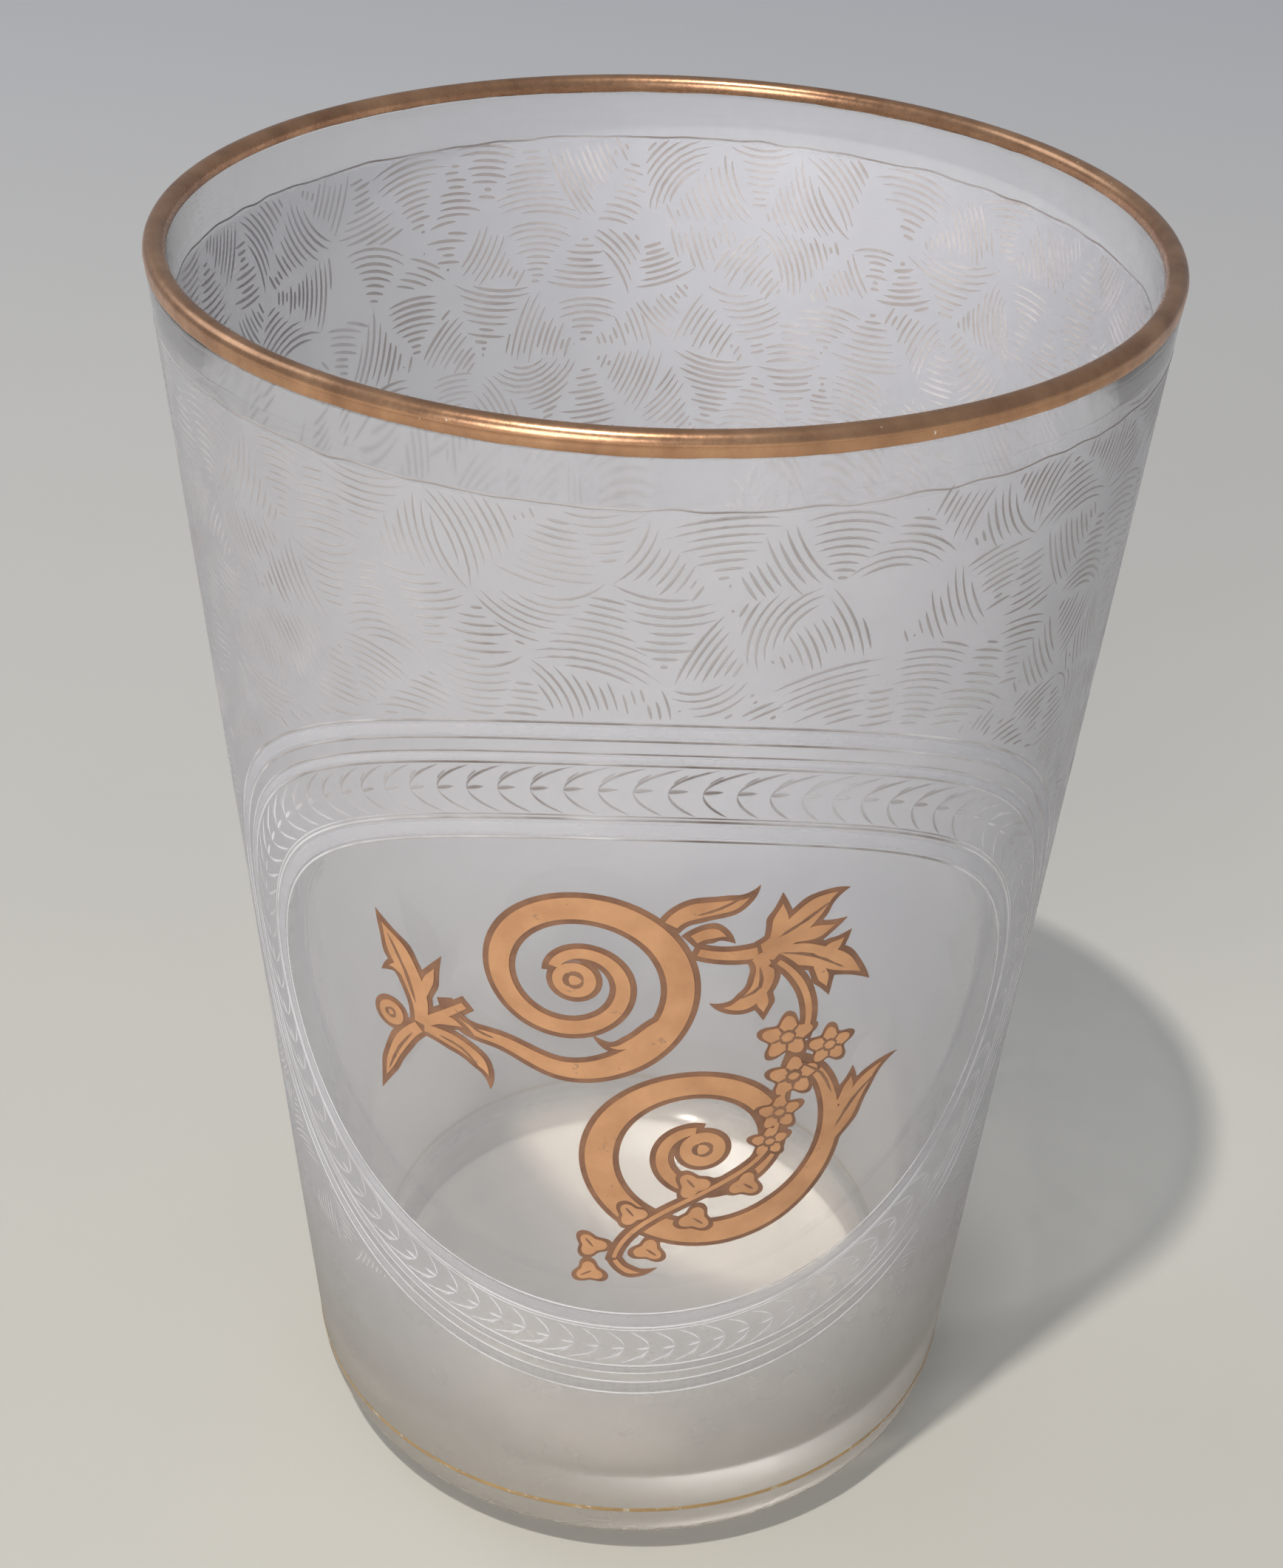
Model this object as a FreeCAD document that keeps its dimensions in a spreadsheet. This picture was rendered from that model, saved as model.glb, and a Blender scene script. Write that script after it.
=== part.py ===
# A thin blown shot glass: a straight tapered wall with a rounded lip, a thick clear floor and a soft heel.
# It carries fired gilding: a band over the lip, a hairline round the foot and a scroll ornament on the front.
#
# Frame: millimetres, +Z up, origin at the centre of the foot on the table, ornament facing -Y.
import FreeCAD, Part

import math
import os

import Sketcher

FULL_TURN = 360.0
doc = FreeCAD.newDocument("shot_glass")


# ---------------------------------------------------------------- driving sizes
SIZES = [
    ("rim_diameter", 50.0, "over the gilded lip"),
    ("foot_diameter", 37.6, "wall line carried down to the table"),
    ("height", 72.2, "over the gilded lip"),
    ("lip_thickness", 0.95, "glass at the lip"),
    ("lip_round", 0.46, "fire-polished edge radius"),
    ("low_wall_thickness", 2.8, "glass where the wall meets the floor"),
    ("floor_thickness", 5.0, "clear glass under the drink"),
    ("floor_corner", 1.8, "radius between inner wall and floor"),
    ("heel_radius", 4.0, "radius between outer wall and foot"),
    ("gilding", 0.05, "thickness of a fired gold band"),
    ("lip_band_outside", 1.05, "gold down the outside, from the top"),
    ("lip_band_inside", 0.75, "gold down the inside, from the top"),
    ("foot_line_height", 4.2, "middle of the foot hairline"),
    ("foot_line_width", 0.3, "width of the foot hairline"),
    ("ornament_height", 37.0, "middle of the front ornament"),
    ("ground_thickness", 0.03, "brown ground under the ornament"),
    ("gold_thickness", 0.03, "gold over the brown ground"),
    ("contour", 0.3, "brown line left showing round the gold"),
]

sheet = doc.addObject("Spreadsheet::Sheet", "sizes")
for row, (alias, value, note) in enumerate(SIZES, start=1):
    sheet.set(f"A{row}", alias)
    sheet.set(f"B{row}", str(value))
    sheet.set(f"C{row}", note)
    sheet.setAlias(f"B{row}", alias)
doc.recompute()


def size(alias):
    return float(sheet.get(alias))


RIM_RADIUS = "(sizes.rim_diameter / 2 - sizes.gilding)"
FOOT_RADIUS = "sizes.foot_diameter / 2"
GLASS_HEIGHT = "(sizes.height - sizes.gilding)"

glass_rim_radius = size("rim_diameter") / 2 - size("gilding")
glass_height = size("height") - size("gilding")
wall_slope = (glass_rim_radius - size("foot_diameter") / 2) / glass_height


def wall_radius(height):
    """Outer radius of the glass wall at a height above the table."""
    return size("foot_diameter") / 2 + wall_slope * height


# ---------------------------------------------------------------- sketch helpers
def origin_feature(body, role):
    for feature in body.Origin.OriginFeatures:
        if feature.Role == role:
            return feature
    raise ValueError(role)


def section_sketch(body, name, corners):
    """Close a polygon in the XZ plane, each corner held by its radius and height expressions."""
    sketch = body.newObject("Sketcher::SketchObject", name)
    sketch.AttachmentSupport = [(origin_feature(body, "XZ_Plane"), "")]
    sketch.MapMode = "FlatFace"
    points = [FreeCAD.Vector(radius, height, 0) for radius, height, _, _ in corners]
    count = len(points)
    for index in range(count):
        sketch.addGeometry(Part.LineSegment(points[index], points[(index + 1) % count]), False)
    for index in range(count):
        sketch.addConstraint(Sketcher.Constraint("Coincident", index, 2, (index + 1) % count, 1))
    for index, (radius, height, radius_rule, height_rule) in enumerate(corners):
        hold_corner(sketch, index, "DistanceX", radius, radius_rule, f"radius_{index}")
        hold_corner(sketch, index, "DistanceY", height, height_rule, f"height_{index}")
    return sketch


def hold_corner(sketch, index, kind, value, rule, name):
    if value == 0:
        axis = -2 if kind == "DistanceX" else -1
        sketch.addConstraint(Sketcher.Constraint("PointOnObject", index, 1, axis))
        return
    number = sketch.addConstraint(Sketcher.Constraint(kind, -1, 1, index, 1, value))
    sketch.renameConstraint(number, name)
    sketch.setExpression(f"Constraints.{name}", rule)


def revolve(body, sketch, name):
    turned = body.newObject("PartDesign::Revolution", name)
    turned.Profile = sketch
    turned.ReferenceAxis = (sketch, ["V_Axis"])
    turned.Angle = FULL_TURN
    doc.recompute()
    return turned


def ring_edges(shape, radius, height):
    """Names of the circular edges that run round the axis at one radius and height."""
    names = []
    for number, edge in enumerate(shape.Edges, start=1):
        curve = edge.Curve
        if not isinstance(curve, Part.Circle):
            continue
        if abs(curve.Radius - radius) < 1e-4 and abs(curve.Center.z - height) < 1e-4:
            names.append(f"Edge{number}")
    if not names:
        raise ValueError(f"no ring at radius {radius}, height {height}")
    return names


def round_ring(body, base, name, radius, height, rule):
    fillet = body.newObject("PartDesign::Fillet", name)
    fillet.Base = (base, ring_edges(base.Shape, radius, height))
    fillet.Radius = 0.1
    fillet.setExpression("Radius", rule)
    doc.recompute()
    return fillet


# ---------------------------------------------------------------- the blown glass
def make_glass():
    foot = size("foot_diameter") / 2
    floor = size("floor_thickness")
    lip_inner = glass_rim_radius - size("lip_thickness")
    floor_inner = wall_radius(floor) - size("low_wall_thickness")
    slope_rule = f"({RIM_RADIUS} - {FOOT_RADIUS}) / {GLASS_HEIGHT}"
    floor_rule = f"{FOOT_RADIUS} + sizes.floor_thickness * {slope_rule} - sizes.low_wall_thickness"
    corners = [
        (0, 0, "", ""),
        (foot, 0, FOOT_RADIUS, ""),
        (glass_rim_radius, glass_height, RIM_RADIUS, GLASS_HEIGHT),
        (lip_inner, glass_height, f"{RIM_RADIUS} - sizes.lip_thickness", GLASS_HEIGHT),
        (floor_inner, floor, floor_rule, "sizes.floor_thickness"),
        (0, floor, "", "sizes.floor_thickness"),
    ]
    body = doc.addObject("PartDesign::Body", "glass_body")
    sketch = section_sketch(body, "glass_section", corners)
    blown = revolve(body, sketch, "blown_wall")
    step = round_ring(body, blown, "heel", foot, 0, "sizes.heel_radius")
    step = round_ring(body, step, "floor_corner", floor_inner, floor, "sizes.floor_corner")
    step = round_ring(body, step, "lip_outside", glass_rim_radius, glass_height, "sizes.lip_round")
    round_ring(body, step, "lip_inside", lip_inner, glass_height, "sizes.lip_round")
    body.Label = "glass_body"
    return body


# ---------------------------------------------------------------- gilded bands
def lies_at(edge, height):
    """Whether the whole edge is at one height."""
    return max(abs(edge.BoundBox.ZMin - height), abs(edge.BoundBox.ZMax - height)) < 1e-6


def make_rim_gilding(glass):
    """A saddle of gold over the lip: a slightly larger lip, less the glass inside it."""
    gold = size("gilding")
    top = size("height")
    outside = top - size("lip_band_outside")
    inside = top - size("lip_band_inside")
    outer_top = wall_radius(glass_height) + gold
    outer_low = outer_top - wall_slope * size("lip_band_outside")
    inner_top = glass_rim_radius - size("lip_thickness") - gold
    floor = size("floor_thickness")
    floor_inner = wall_radius(floor) - size("low_wall_thickness")
    inner_slope = (inner_top + gold - floor_inner) / (glass_height - floor)
    inner_low = inner_top - inner_slope * size("lip_band_inside")
    middle = (outer_low + inner_low) / 2
    corners = [
        (outer_low, outside), (outer_top, top), (inner_top, top),
        (inner_low, inside), (middle, inside), (middle, outside),
    ]
    wire = Part.makePolygon([FreeCAD.Vector(r, 0, z) for r, z in corners + corners[:1]])
    blank = Part.Face(wire).revolve(FreeCAD.Vector(), FreeCAD.Vector(0, 0, 1), FULL_TURN)
    lips = [edge for edge in blank.Edges if lies_at(edge, top)]
    blank = blank.makeFillet(size("lip_round") + gold, lips)
    saddle = blank.cut(glass.Shape)
    band = doc.addObject("Part::Feature", "rim_gilding")
    band.Shape = Part.Solid(saddle.Solids[0])
    band.Label = "rim_gilding"
    band.Placement = FreeCAD.Placement()
    return band


def cone_between(name, extra):
    """A solid slice of the wall's cone at the foot hairline, grown outwards by an expression."""
    cone = doc.addObject("Part::Cone", name)
    slope = f"({RIM_RADIUS} - {FOOT_RADIUS}) / {GLASS_HEIGHT}"
    low = "(sizes.foot_line_height - sizes.foot_line_width / 2)"
    high = "(sizes.foot_line_height + sizes.foot_line_width / 2)"
    cone.setExpression("Radius1", f"{FOOT_RADIUS} + {low} * {slope} + {extra}")
    cone.setExpression("Radius2", f"{FOOT_RADIUS} + {high} * {slope} + {extra}")
    cone.setExpression("Height", "sizes.foot_line_width")
    cone.setExpression("Placement.Base.z", low)
    return cone


def make_foot_gilding():
    line = doc.addObject("Part::Cut", "foot_gilding")
    line.Base = cone_between("foot_line_outer", "sizes.gilding")
    line.Tool = cone_between("foot_line_inner", "0")
    line.Label = "foot_gilding"
    return line


# ---------------------------------------------------------------- the front ornament, drawn flat
# Every stroke is a centre line of (across, up) points about the ornament's middle, measured along the
# wall, with a row of widths shared evenly along it. A last width of 0 ends the stroke in a point.
def volute(centre, start_radius, end_radius, start_angle, turns, steps=20):
    """Points of a coil that tightens evenly towards its heart; negative turns run clockwise."""
    points = []
    for step in range(steps + 1):
        part = step / steps
        radius = start_radius + (end_radius - start_radius) * part
        angle = math.radians(start_angle + FULL_TURN * turns * part)
        points.append((centre[0] + radius * math.cos(angle), centre[1] + radius * math.sin(angle)))
    return points


UPPER_HEART = (-3.1, 6.2)
LOWER_HEART = (3.4, -4.6)

UPPER_VOLUTE = [
    ([(-9.7, 3.3), (-8.0, 1.7)] + volute(UPPER_HEART, 6.0, 1.1, -130, 1.8), [0.9, 1.9, 1.9, 1.5, 1.1]),
    ([(1.2, 9.6), (2.6, 10.7), (4.0, 10.9), (5.4, 12.0)], [1.2, 1.5, 1.2, 0.0]),
    ([(2.2, 8.8), (3.4, 9.3), (4.4, 8.6)], [1.1, 1.2, 0.0]),
    ([(2.4, 4.2), (0.6, 3.4), (-0.9, 2.2), (-2.2, 2.9)], [0.9, 1.1, 1.0, 0.0]),
]
LOWER_VOLUTE = [
    ([(7.2, 0.9), (9.0, -0.3)] + volute(LOWER_HEART, 6.9, 1.2, 22, -1.8), [1.0, 2.0, 2.0, 1.6, 1.1]),
    ([(9.6, -5.8), (11.0, -3.6), (12.0, -1.9), (13.8, -0.8)], [1.2, 1.9, 1.3, 0.0]),
    ([(10.4, -3.4), (11.0, -1.9), (11.1, -0.7)], [1.1, 1.2, 0.0]),
]
LEFT_SPRAY = [
    ([(-8.4, 3.4), (-9.8, 2.2), (-11.2, 1.0)], [0.95, 1.05, 1.2]),
    ([(-11.2, 0.8), (-11.3, 3.2), (-12.3, 5.2), (-13.6, 7.4)], [1.2, 1.7, 1.9, 0.0]),
    ([(-11.2, 2.2), (-10.6, 4.0), (-9.8, 5.9)], [1.0, 1.2, 0.0]),
    ([(-11.4, 3.2), (-12.4, 4.2), (-13.4, 3.6)], [1.1, 1.2, 0.0]),
    ([(-10.9, 1.1), (-9.6, 1.9), (-8.0, 1.3)], [1.0, 1.2, 0.0]),
    ([(-11.2, 0.9), (-9.4, 0.7), (-7.8, -0.2), (-7.3, -1.9)], [1.0, 1.4, 1.2, 0.0]),
    ([(-11.0, 1.0), (-12.2, -0.4), (-13.1, -2.4), (-13.8, -4.6)], [1.2, 1.4, 1.1, 0.0]),
]
RIGHT_SPRAY = [
    ([(2.4, 8.3), (4.0, 7.9), (5.8, 8.0)], [1.0, 1.1, 1.3]),
    ([(5.4, 8.0), (7.0, 8.9), (8.3, 10.3), (9.9, 11.0)], [1.2, 2.0, 1.7, 0.0]),
    ([(6.2, 8.3), (6.5, 9.8), (6.5, 11.4)], [1.1, 1.4, 0.0]),
    ([(6.8, 8.6), (8.4, 8.7), (9.9, 9.2)], [1.1, 1.4, 0.0]),
    ([(5.4, 7.9), (7.6, 7.5), (9.6, 6.6), (11.5, 4.9)], [1.1, 1.9, 1.7, 0.0]),
    ([(8.2, 7.0), (9.4, 7.6), (10.2, 8.4)], [1.1, 1.3, 0.0]),
    ([(8.4, 6.9), (8.9, 5.8), (9.3, 4.5)], [1.0, 1.2, 0.0]),
    ([(5.2, 7.9), (5.9, 6.4), (5.2, 5.0), (3.3, 5.0)], [1.1, 1.6, 1.4, 0.0]),
    ([(5.7, 5.8), (5.9, 4.8), (6.0, 3.6)], [1.1, 1.2, 0.0]),
]
GARLAND_STEMS = [
    ([(6.3, 7.4), (7.7, 5.8), (8.3, 3.9), (8.1, 2.0)], [0.85, 0.95, 0.95, 0.85]),
    ([(7.6, 0.6), (7.2, -3.0), (6.6, -5.2), (4.6, -7.0), (2.2, -8.5), (0.1, -10.3), (-0.9, -12.6)],
     [0.85, 0.85, 0.85, 0.85, 0.85, 0.85, 0.8]),
    ([(-0.9, -12.2), (0.0, -13.3), (1.4, -13.0)], [0.85, 0.9, 0.0]),
]
FLOWERS = [(7.3, 2.3, 1.65), (9.6, 1.2, 1.45), (7.8, -0.4, 1.6), (7.2, -2.7, 1.4), (6.8, -4.6, 1.25)]
PETALS = 5
PETAL_DEPTH = 0.19
SMALLEST_FLECK = 0.1  # square millimetres; smaller crumbs between crossing strokes carry no gold
BUDS = [  # across, up, radius, lean clockwise from upright in radians
    (5.7, -7.4, 1.15, 2.3), (3.0, -7.1, 1.2, -0.6), (3.2, -9.5, 1.15, 2.3), (0.0, -9.1, 1.1, -0.6),
    (-2.0, -11.5, 1.1, -0.6), (0.9, -11.7, 1.1, 2.3), (-2.1, -13.5, 1.05, -2.2),
]
BUD_LOBES = 3
BUD_DEPTH = 0.2
EYES = [(-3.1, 6.2, 1.35), (3.4, -4.6, 1.45), (-12.9, 1.0, 1.05)]


def on_wall(across, up):
    """Where a flat point of the ornament comes to lie, seen square-on from the front."""
    height = size("ornament_height") + up
    radius = wall_radius(height)
    return FreeCAD.Vector(radius * math.sin(across / radius), 0, height)


def smooth_edge(points, closed=False):
    curve = Part.BSplineCurve()
    curve.interpolate(Points=points, PeriodicFlag=closed)
    return curve.toShape()


def width_at(widths, part):
    place = part * (len(widths) - 1)
    low = min(int(place), len(widths) - 2)
    return widths[low] + (widths[low + 1] - widths[low]) * (place - low)


def tip_place(widths, trim):
    """How far along a pointed stroke its trimmed sides meet, from 0 to 1."""
    before = widths[-2] / 2
    last_gap = 1 / (len(widths) - 1)
    return 1 - last_gap * trim / before


def stroke_face(centre_line, widths, trim):
    """A brush stroke of changing width; trim narrows it on every side."""
    guide = Part.BSplineCurve()
    guide.interpolate(Points=[FreeCAD.Vector(x, 0, z) for x, z in centre_line])
    pointed = widths[-1] == 0
    length = guide.length()
    begin = trim / length
    end = tip_place(widths, trim) if pointed else 1 - begin
    steps = 3 * (len(centre_line) - 1)
    sides = ([], [])
    for step in range(steps + 1):
        part = begin + (end - begin) * step / steps
        spot = min(guide.parameterAtDistance(part * length, guide.FirstParameter), guide.LastParameter)
        place = guide.value(spot)
        along = guide.tangent(spot)[0]
        half = 0.0 if pointed and step == steps else width_at(widths, part) / 2 - trim
        for side, sign in zip(sides, (1, -1)):
            side.append(on_wall(place.x - sign * along.z * half, place.z + sign * along.x * half))
    edges = [smooth_edge(sides[0]), smooth_edge(sides[1])]
    edges.append(Part.makeLine(sides[0][0], sides[1][0]))
    if not pointed:
        edges.append(Part.makeLine(sides[0][-1], sides[1][-1]))
    return Part.Face(Part.Wire(Part.__sortEdges__(edges)))


def round_face(across, up, radius, petals=0, depth=0.0, lean=0.0):
    """A bead, or a flower or a lobed bud when it has petals."""
    count = 12 if petals == 0 else petals * 6
    points = []
    for step in range(count):
        angle = 2 * math.pi * step / count
        reach = radius * (1 + depth * (math.cos(petals * angle) - 1))
        points.append(on_wall(across + reach * math.sin(angle + lean), up + reach * math.cos(angle + lean)))
    return Part.Face(Part.Wire([smooth_edge(points, closed=True)]))


def strokes(table, trim):
    return [stroke_face(line, widths, trim) for line, widths in table]


def garland(trim):
    faces = strokes(GARLAND_STEMS, trim)
    faces += [round_face(x, z, r - trim, PETALS, PETAL_DEPTH) for x, z, r in FLOWERS]
    faces += [round_face(x, z, r - trim, BUD_LOBES, BUD_DEPTH, lean) for x, z, r, lean in BUDS]
    return faces


MOTIFS = {
    "garland": garland,
    "left_spray": lambda trim: strokes(LEFT_SPRAY, trim) + [round_face(*EYES[2][:2], EYES[2][2] - trim)],
    "right_spray": lambda trim: strokes(RIGHT_SPRAY, trim),
    "upper_volute": lambda trim: strokes(UPPER_VOLUTE, trim) + [round_face(*EYES[0][:2], EYES[0][2] - trim)],
    "lower_volute": lambda trim: strokes(LOWER_VOLUTE, trim) + [round_face(*EYES[1][:2], EYES[1][2] - trim)],
}


def outline(faces, hidden_by=()):
    """The separate outlines that overlapping strokes make together, less what lies in front of them."""
    joined = faces[0].fuse(faces[1:])
    merged = Part.makeShell(joined.Faces).removeSplitter().Faces
    if hidden_by:
        merged = [part for face in merged for part in face.cut(list(hidden_by)).Faces]
    return [face for face in merged if face.Area > SMALLEST_FLECK]


def prisms_from(faces):
    """Each outline carried straight back from in front of the glass to its axis."""
    back = FreeCAD.Vector(0, glass_rim_radius + 1, 0)
    return [face.translated(back * -1).extrude(back) for face in faces]


def wall_skin(inner_extra, outer_extra):
    """A thin conical shell that lies on the wall, over the height of the ornament."""
    low = size("ornament_height") - 15
    high = size("ornament_height") + 15
    corners = [
        (wall_radius(low) + inner_extra, low), (wall_radius(low) + outer_extra, low),
        (wall_radius(high) + outer_extra, high), (wall_radius(high) + inner_extra, high),
    ]
    wire = Part.makePolygon([FreeCAD.Vector(r, 0, z) for r, z in corners + corners[:1]])
    return Part.Face(wire).revolve(FreeCAD.Vector(), FreeCAD.Vector(0, 0, 1), FULL_TURN)


def add_layer(name, skin, outlines):
    """A film of enamel or gold: the part of a wall skin that lies behind the outlines."""
    solids = [solid for prism in prisms_from(outlines) for solid in skin.common(prism).Solids]
    layer = doc.addObject("Part::Feature", name)
    layer.Shape = Part.makeCompound(solids)
    layer.Label = name
    layer.Placement = FreeCAD.Placement()
    return layer


def make_ornament():
    """One brown ground under everything, then each motif's gold on it, the front motifs first."""
    ground = size("ground_thickness")
    gold = ground + size("gold_thickness")
    ground_skin = wall_skin(0, ground)
    gold_skin = wall_skin(ground, gold)
    all_strokes = [face for draw in MOTIFS.values() for face in draw(0.0)]
    layers = [add_layer("ornament_ground", ground_skin, outline(all_strokes))]
    in_front = []
    for name, draw in MOTIFS.items():
        layers.append(add_layer(f"{name}_gilding", gold_skin, outline(draw(size("contour")), in_front)))
        in_front += outline(draw(0.0))
    return layers


glass = make_glass()
pieces = [glass, make_rim_gilding(glass), make_foot_gilding()]
pieces += make_ornament()
doc.recompute()

for item in doc.Objects:
    if "Invalid" in item.State or "Error" in item.State:
        raise RuntimeError(f"{item.Label} failed: {item.State}")
for piece in pieces:
    if piece.Shape.isNull() or not piece.Shape.isValid():
        raise RuntimeError(f"{piece.Label} has a bad shape")

os.makedirs("parts", exist_ok=True)
for piece in pieces:
    box = piece.Shape.BoundBox
    print(f"{piece.Label}: {len(piece.Shape.Solids)} solids, {piece.Shape.Volume:.3f} mm3,",
          f"{box.XLength:.2f} x {box.YLength:.2f} x {box.ZLength:.2f}, z {box.ZMin:.2f}..{box.ZMax:.2f}")
    piece.Shape.exportStep(f"parts/{piece.Label}.step")
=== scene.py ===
# %% [markdown]
# # A gilded shot glass
# The real object is one thin blown glass: a straight tapered wall, a fire-polished lip and a thick
# clear floor. Everything else on it is a finish that was fired or etched on: a gold band over the lip,
# a gold hairline at the foot, an etched oval medallion with a chevron border, feathery etched patches
# all round, and a gold scroll ornament with brown contours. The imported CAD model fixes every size, so
# this lesson starts by loading it.

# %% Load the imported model
import math
import random

import bmesh
import bpy
from mathutils import Matrix, Vector, noise


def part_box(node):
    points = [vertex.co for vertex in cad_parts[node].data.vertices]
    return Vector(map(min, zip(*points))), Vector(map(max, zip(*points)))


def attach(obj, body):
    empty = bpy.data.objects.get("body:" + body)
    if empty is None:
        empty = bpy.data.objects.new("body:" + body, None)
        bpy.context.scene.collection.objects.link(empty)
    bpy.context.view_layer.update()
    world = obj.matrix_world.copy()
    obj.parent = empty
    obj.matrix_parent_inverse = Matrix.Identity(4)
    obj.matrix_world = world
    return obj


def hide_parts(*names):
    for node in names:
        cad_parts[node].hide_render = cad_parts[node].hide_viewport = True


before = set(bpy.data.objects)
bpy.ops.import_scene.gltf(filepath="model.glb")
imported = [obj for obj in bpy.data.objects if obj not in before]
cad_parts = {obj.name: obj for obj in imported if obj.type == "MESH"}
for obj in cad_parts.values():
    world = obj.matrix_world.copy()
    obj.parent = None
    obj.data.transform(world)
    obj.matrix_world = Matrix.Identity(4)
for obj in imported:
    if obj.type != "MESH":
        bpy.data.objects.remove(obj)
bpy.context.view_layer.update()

MM = 0.001

# %% [markdown]
# ## The wall everything follows
# The outside of the glass is a plain cone, so one small function gives its radius at any height. A
# pattern is easiest to draw flat, as on a paper sleeve, and then to roll round the cone: "across"
# becomes an angle, "up" stays a height, and "rise" stands off the surface.

# %% Sizes of the wall
GLASS_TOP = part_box("glass_body")[1].z
FOOT_RADIUS = 18.8 * MM
RIM_RADIUS = 24.95 * MM
FLOOR_HEIGHT = 5.0 * MM
LOW_WALL = 2.8 * MM
INNER_RIM_RADIUS = 24.0 * MM
SLEEVE_RADIUS = 25.0 * MM
WALL_SLOPE = (RIM_RADIUS - FOOT_RADIUS) / GLASS_TOP
INNER_FOOT_RADIUS = FOOT_RADIUS + WALL_SLOPE * FLOOR_HEIGHT - LOW_WALL
INNER_SLOPE = (INNER_RIM_RADIUS - INNER_FOOT_RADIUS) / (GLASS_TOP - FLOOR_HEIGHT)


def wall_radius(height):
    return FOOT_RADIUS + WALL_SLOPE * height


def inner_radius(height):
    return INNER_FOOT_RADIUS + INNER_SLOPE * (height - FLOOR_HEIGHT)


def on_wall(angle, height, rise=0.0):
    """The point at an angle from the front, at a height, standing off the wall by rise."""
    radius = wall_radius(height) + rise
    return Vector((radius * math.sin(angle), -radius * math.cos(angle), height))


def sleeve(across, up, rise=0.0):
    """Roll the medallion's flat drawing round the glass."""
    return on_wall(across / SLEEVE_RADIUS, up, rise)


ORNAMENT_HEIGHT = 37.0 * MM


def ornament_place(across, up, rise=0.0):
    """The flat drawing of the scrolls, about its own middle."""
    height = ORNAMENT_HEIGHT + up
    return on_wall(across / wall_radius(height), height, rise)


print("wall lean in degrees:", round(math.degrees(math.atan(WALL_SLOPE)), 2))

# %% [markdown]
# ## Shading blocks shared by several finishes
# Gold, brown enamel, glass and cloth all need broad mottling and small specks of wear. Each effect is a
# node group made once, with named inputs, so that every material can place it with its own values. A
# group could also be copied into each material, but then one change would have to be made many times.


# %% A small helper for node trees
def add_node(tree, kind, place=(0, 0), **values):
    node = tree.nodes.new(kind)
    node.location = place
    for name, value in values.items():
        setattr(node, name, value)
    return node


def start_group(name, inputs, outputs):
    """A node group with its sockets: each input is (name, kind, value)."""
    group = bpy.data.node_groups.new(name, "ShaderNodeTree")
    for label, kind, value in inputs:
        socket = group.interface.new_socket(label, in_out="INPUT", socket_type=kind)
        socket.default_value = value
    for label, kind in outputs:
        group.interface.new_socket(label, in_out="OUTPUT", socket_type=kind)
    way_in = add_node(group, "NodeGroupInput", (-700, 0))
    way_out = add_node(group, "NodeGroupOutput", (600, 0))
    return group, way_in, way_out


def noise_at(group, way_in, scale_input, detail, roughness=0.55):
    """Noise on the piece's own Object coordinates, at the group's scale."""
    where = add_node(group, "ShaderNodeTexCoord")
    cloud = add_node(group, "ShaderNodeTexNoise")
    cloud.inputs["Detail"].default_value = detail
    cloud.inputs["Roughness"].default_value = roughness
    group.links.new(where.outputs["Object"], cloud.inputs["Vector"])
    group.links.new(way_in.outputs[scale_input], cloud.inputs["Scale"])
    return cloud.outputs["Fac"]


print("groups before the first one is made:", len(bpy.data.node_groups))

# %% [markdown]
# ### Sums, ranges and blends
# Most masks are a few sums, a range that is stretched and a blend of two colours. Three short helpers
# make those nodes and hand back their output, so that a mask reads like a line of arithmetic.


# %% Math nodes in a row
def math_node(tree, kind, *values):
    """One Math node; a value is a number or another node's output."""
    node = add_node(tree, "ShaderNodeMath", (0, 0), operation=kind)
    for socket, value in zip(node.inputs, values):
        if isinstance(value, (int, float)):
            socket.default_value = value
        else:
            tree.links.new(value, socket)
    return node.outputs[0]


def ramp(tree, value, low, high, to_low=0.0, to_high=1.0):
    """A value mapped from one range to another and held at its ends."""
    node = add_node(tree, "ShaderNodeMapRange", (0, 0))
    for label, number in (("From Min", low), ("From Max", high), ("To Min", to_low), ("To Max", to_high)):
        if isinstance(number, (int, float)):
            node.inputs[label].default_value = number
        else:
            tree.links.new(number, node.inputs[label])
    tree.links.new(value, node.inputs["Value"])
    return node.outputs["Result"]


def mix_colours(tree, share, first, second):
    """Blend from the first colour to the second; each is a colour or another node's output."""
    node = add_node(tree, "ShaderNodeMix", (0, 0), data_type="RGBA")
    tree.links.new(share, node.inputs["Factor"])
    for socket, value in ((node.inputs[6], first), (node.inputs[7], second)):
        if isinstance(value, tuple):
            socket.default_value = value
        else:
            tree.links.new(value, socket)
    return node.outputs[2]


print("blend of two colours comes from one node, a sum from another")

# %% [markdown]
# ### Mottling and specks
# A cloud of noise between two limits gives mottling: the contrast says how far the limits are apart.
# The same cloud cut off high up leaves only small specks, where gold or enamel has been rubbed.


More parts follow.
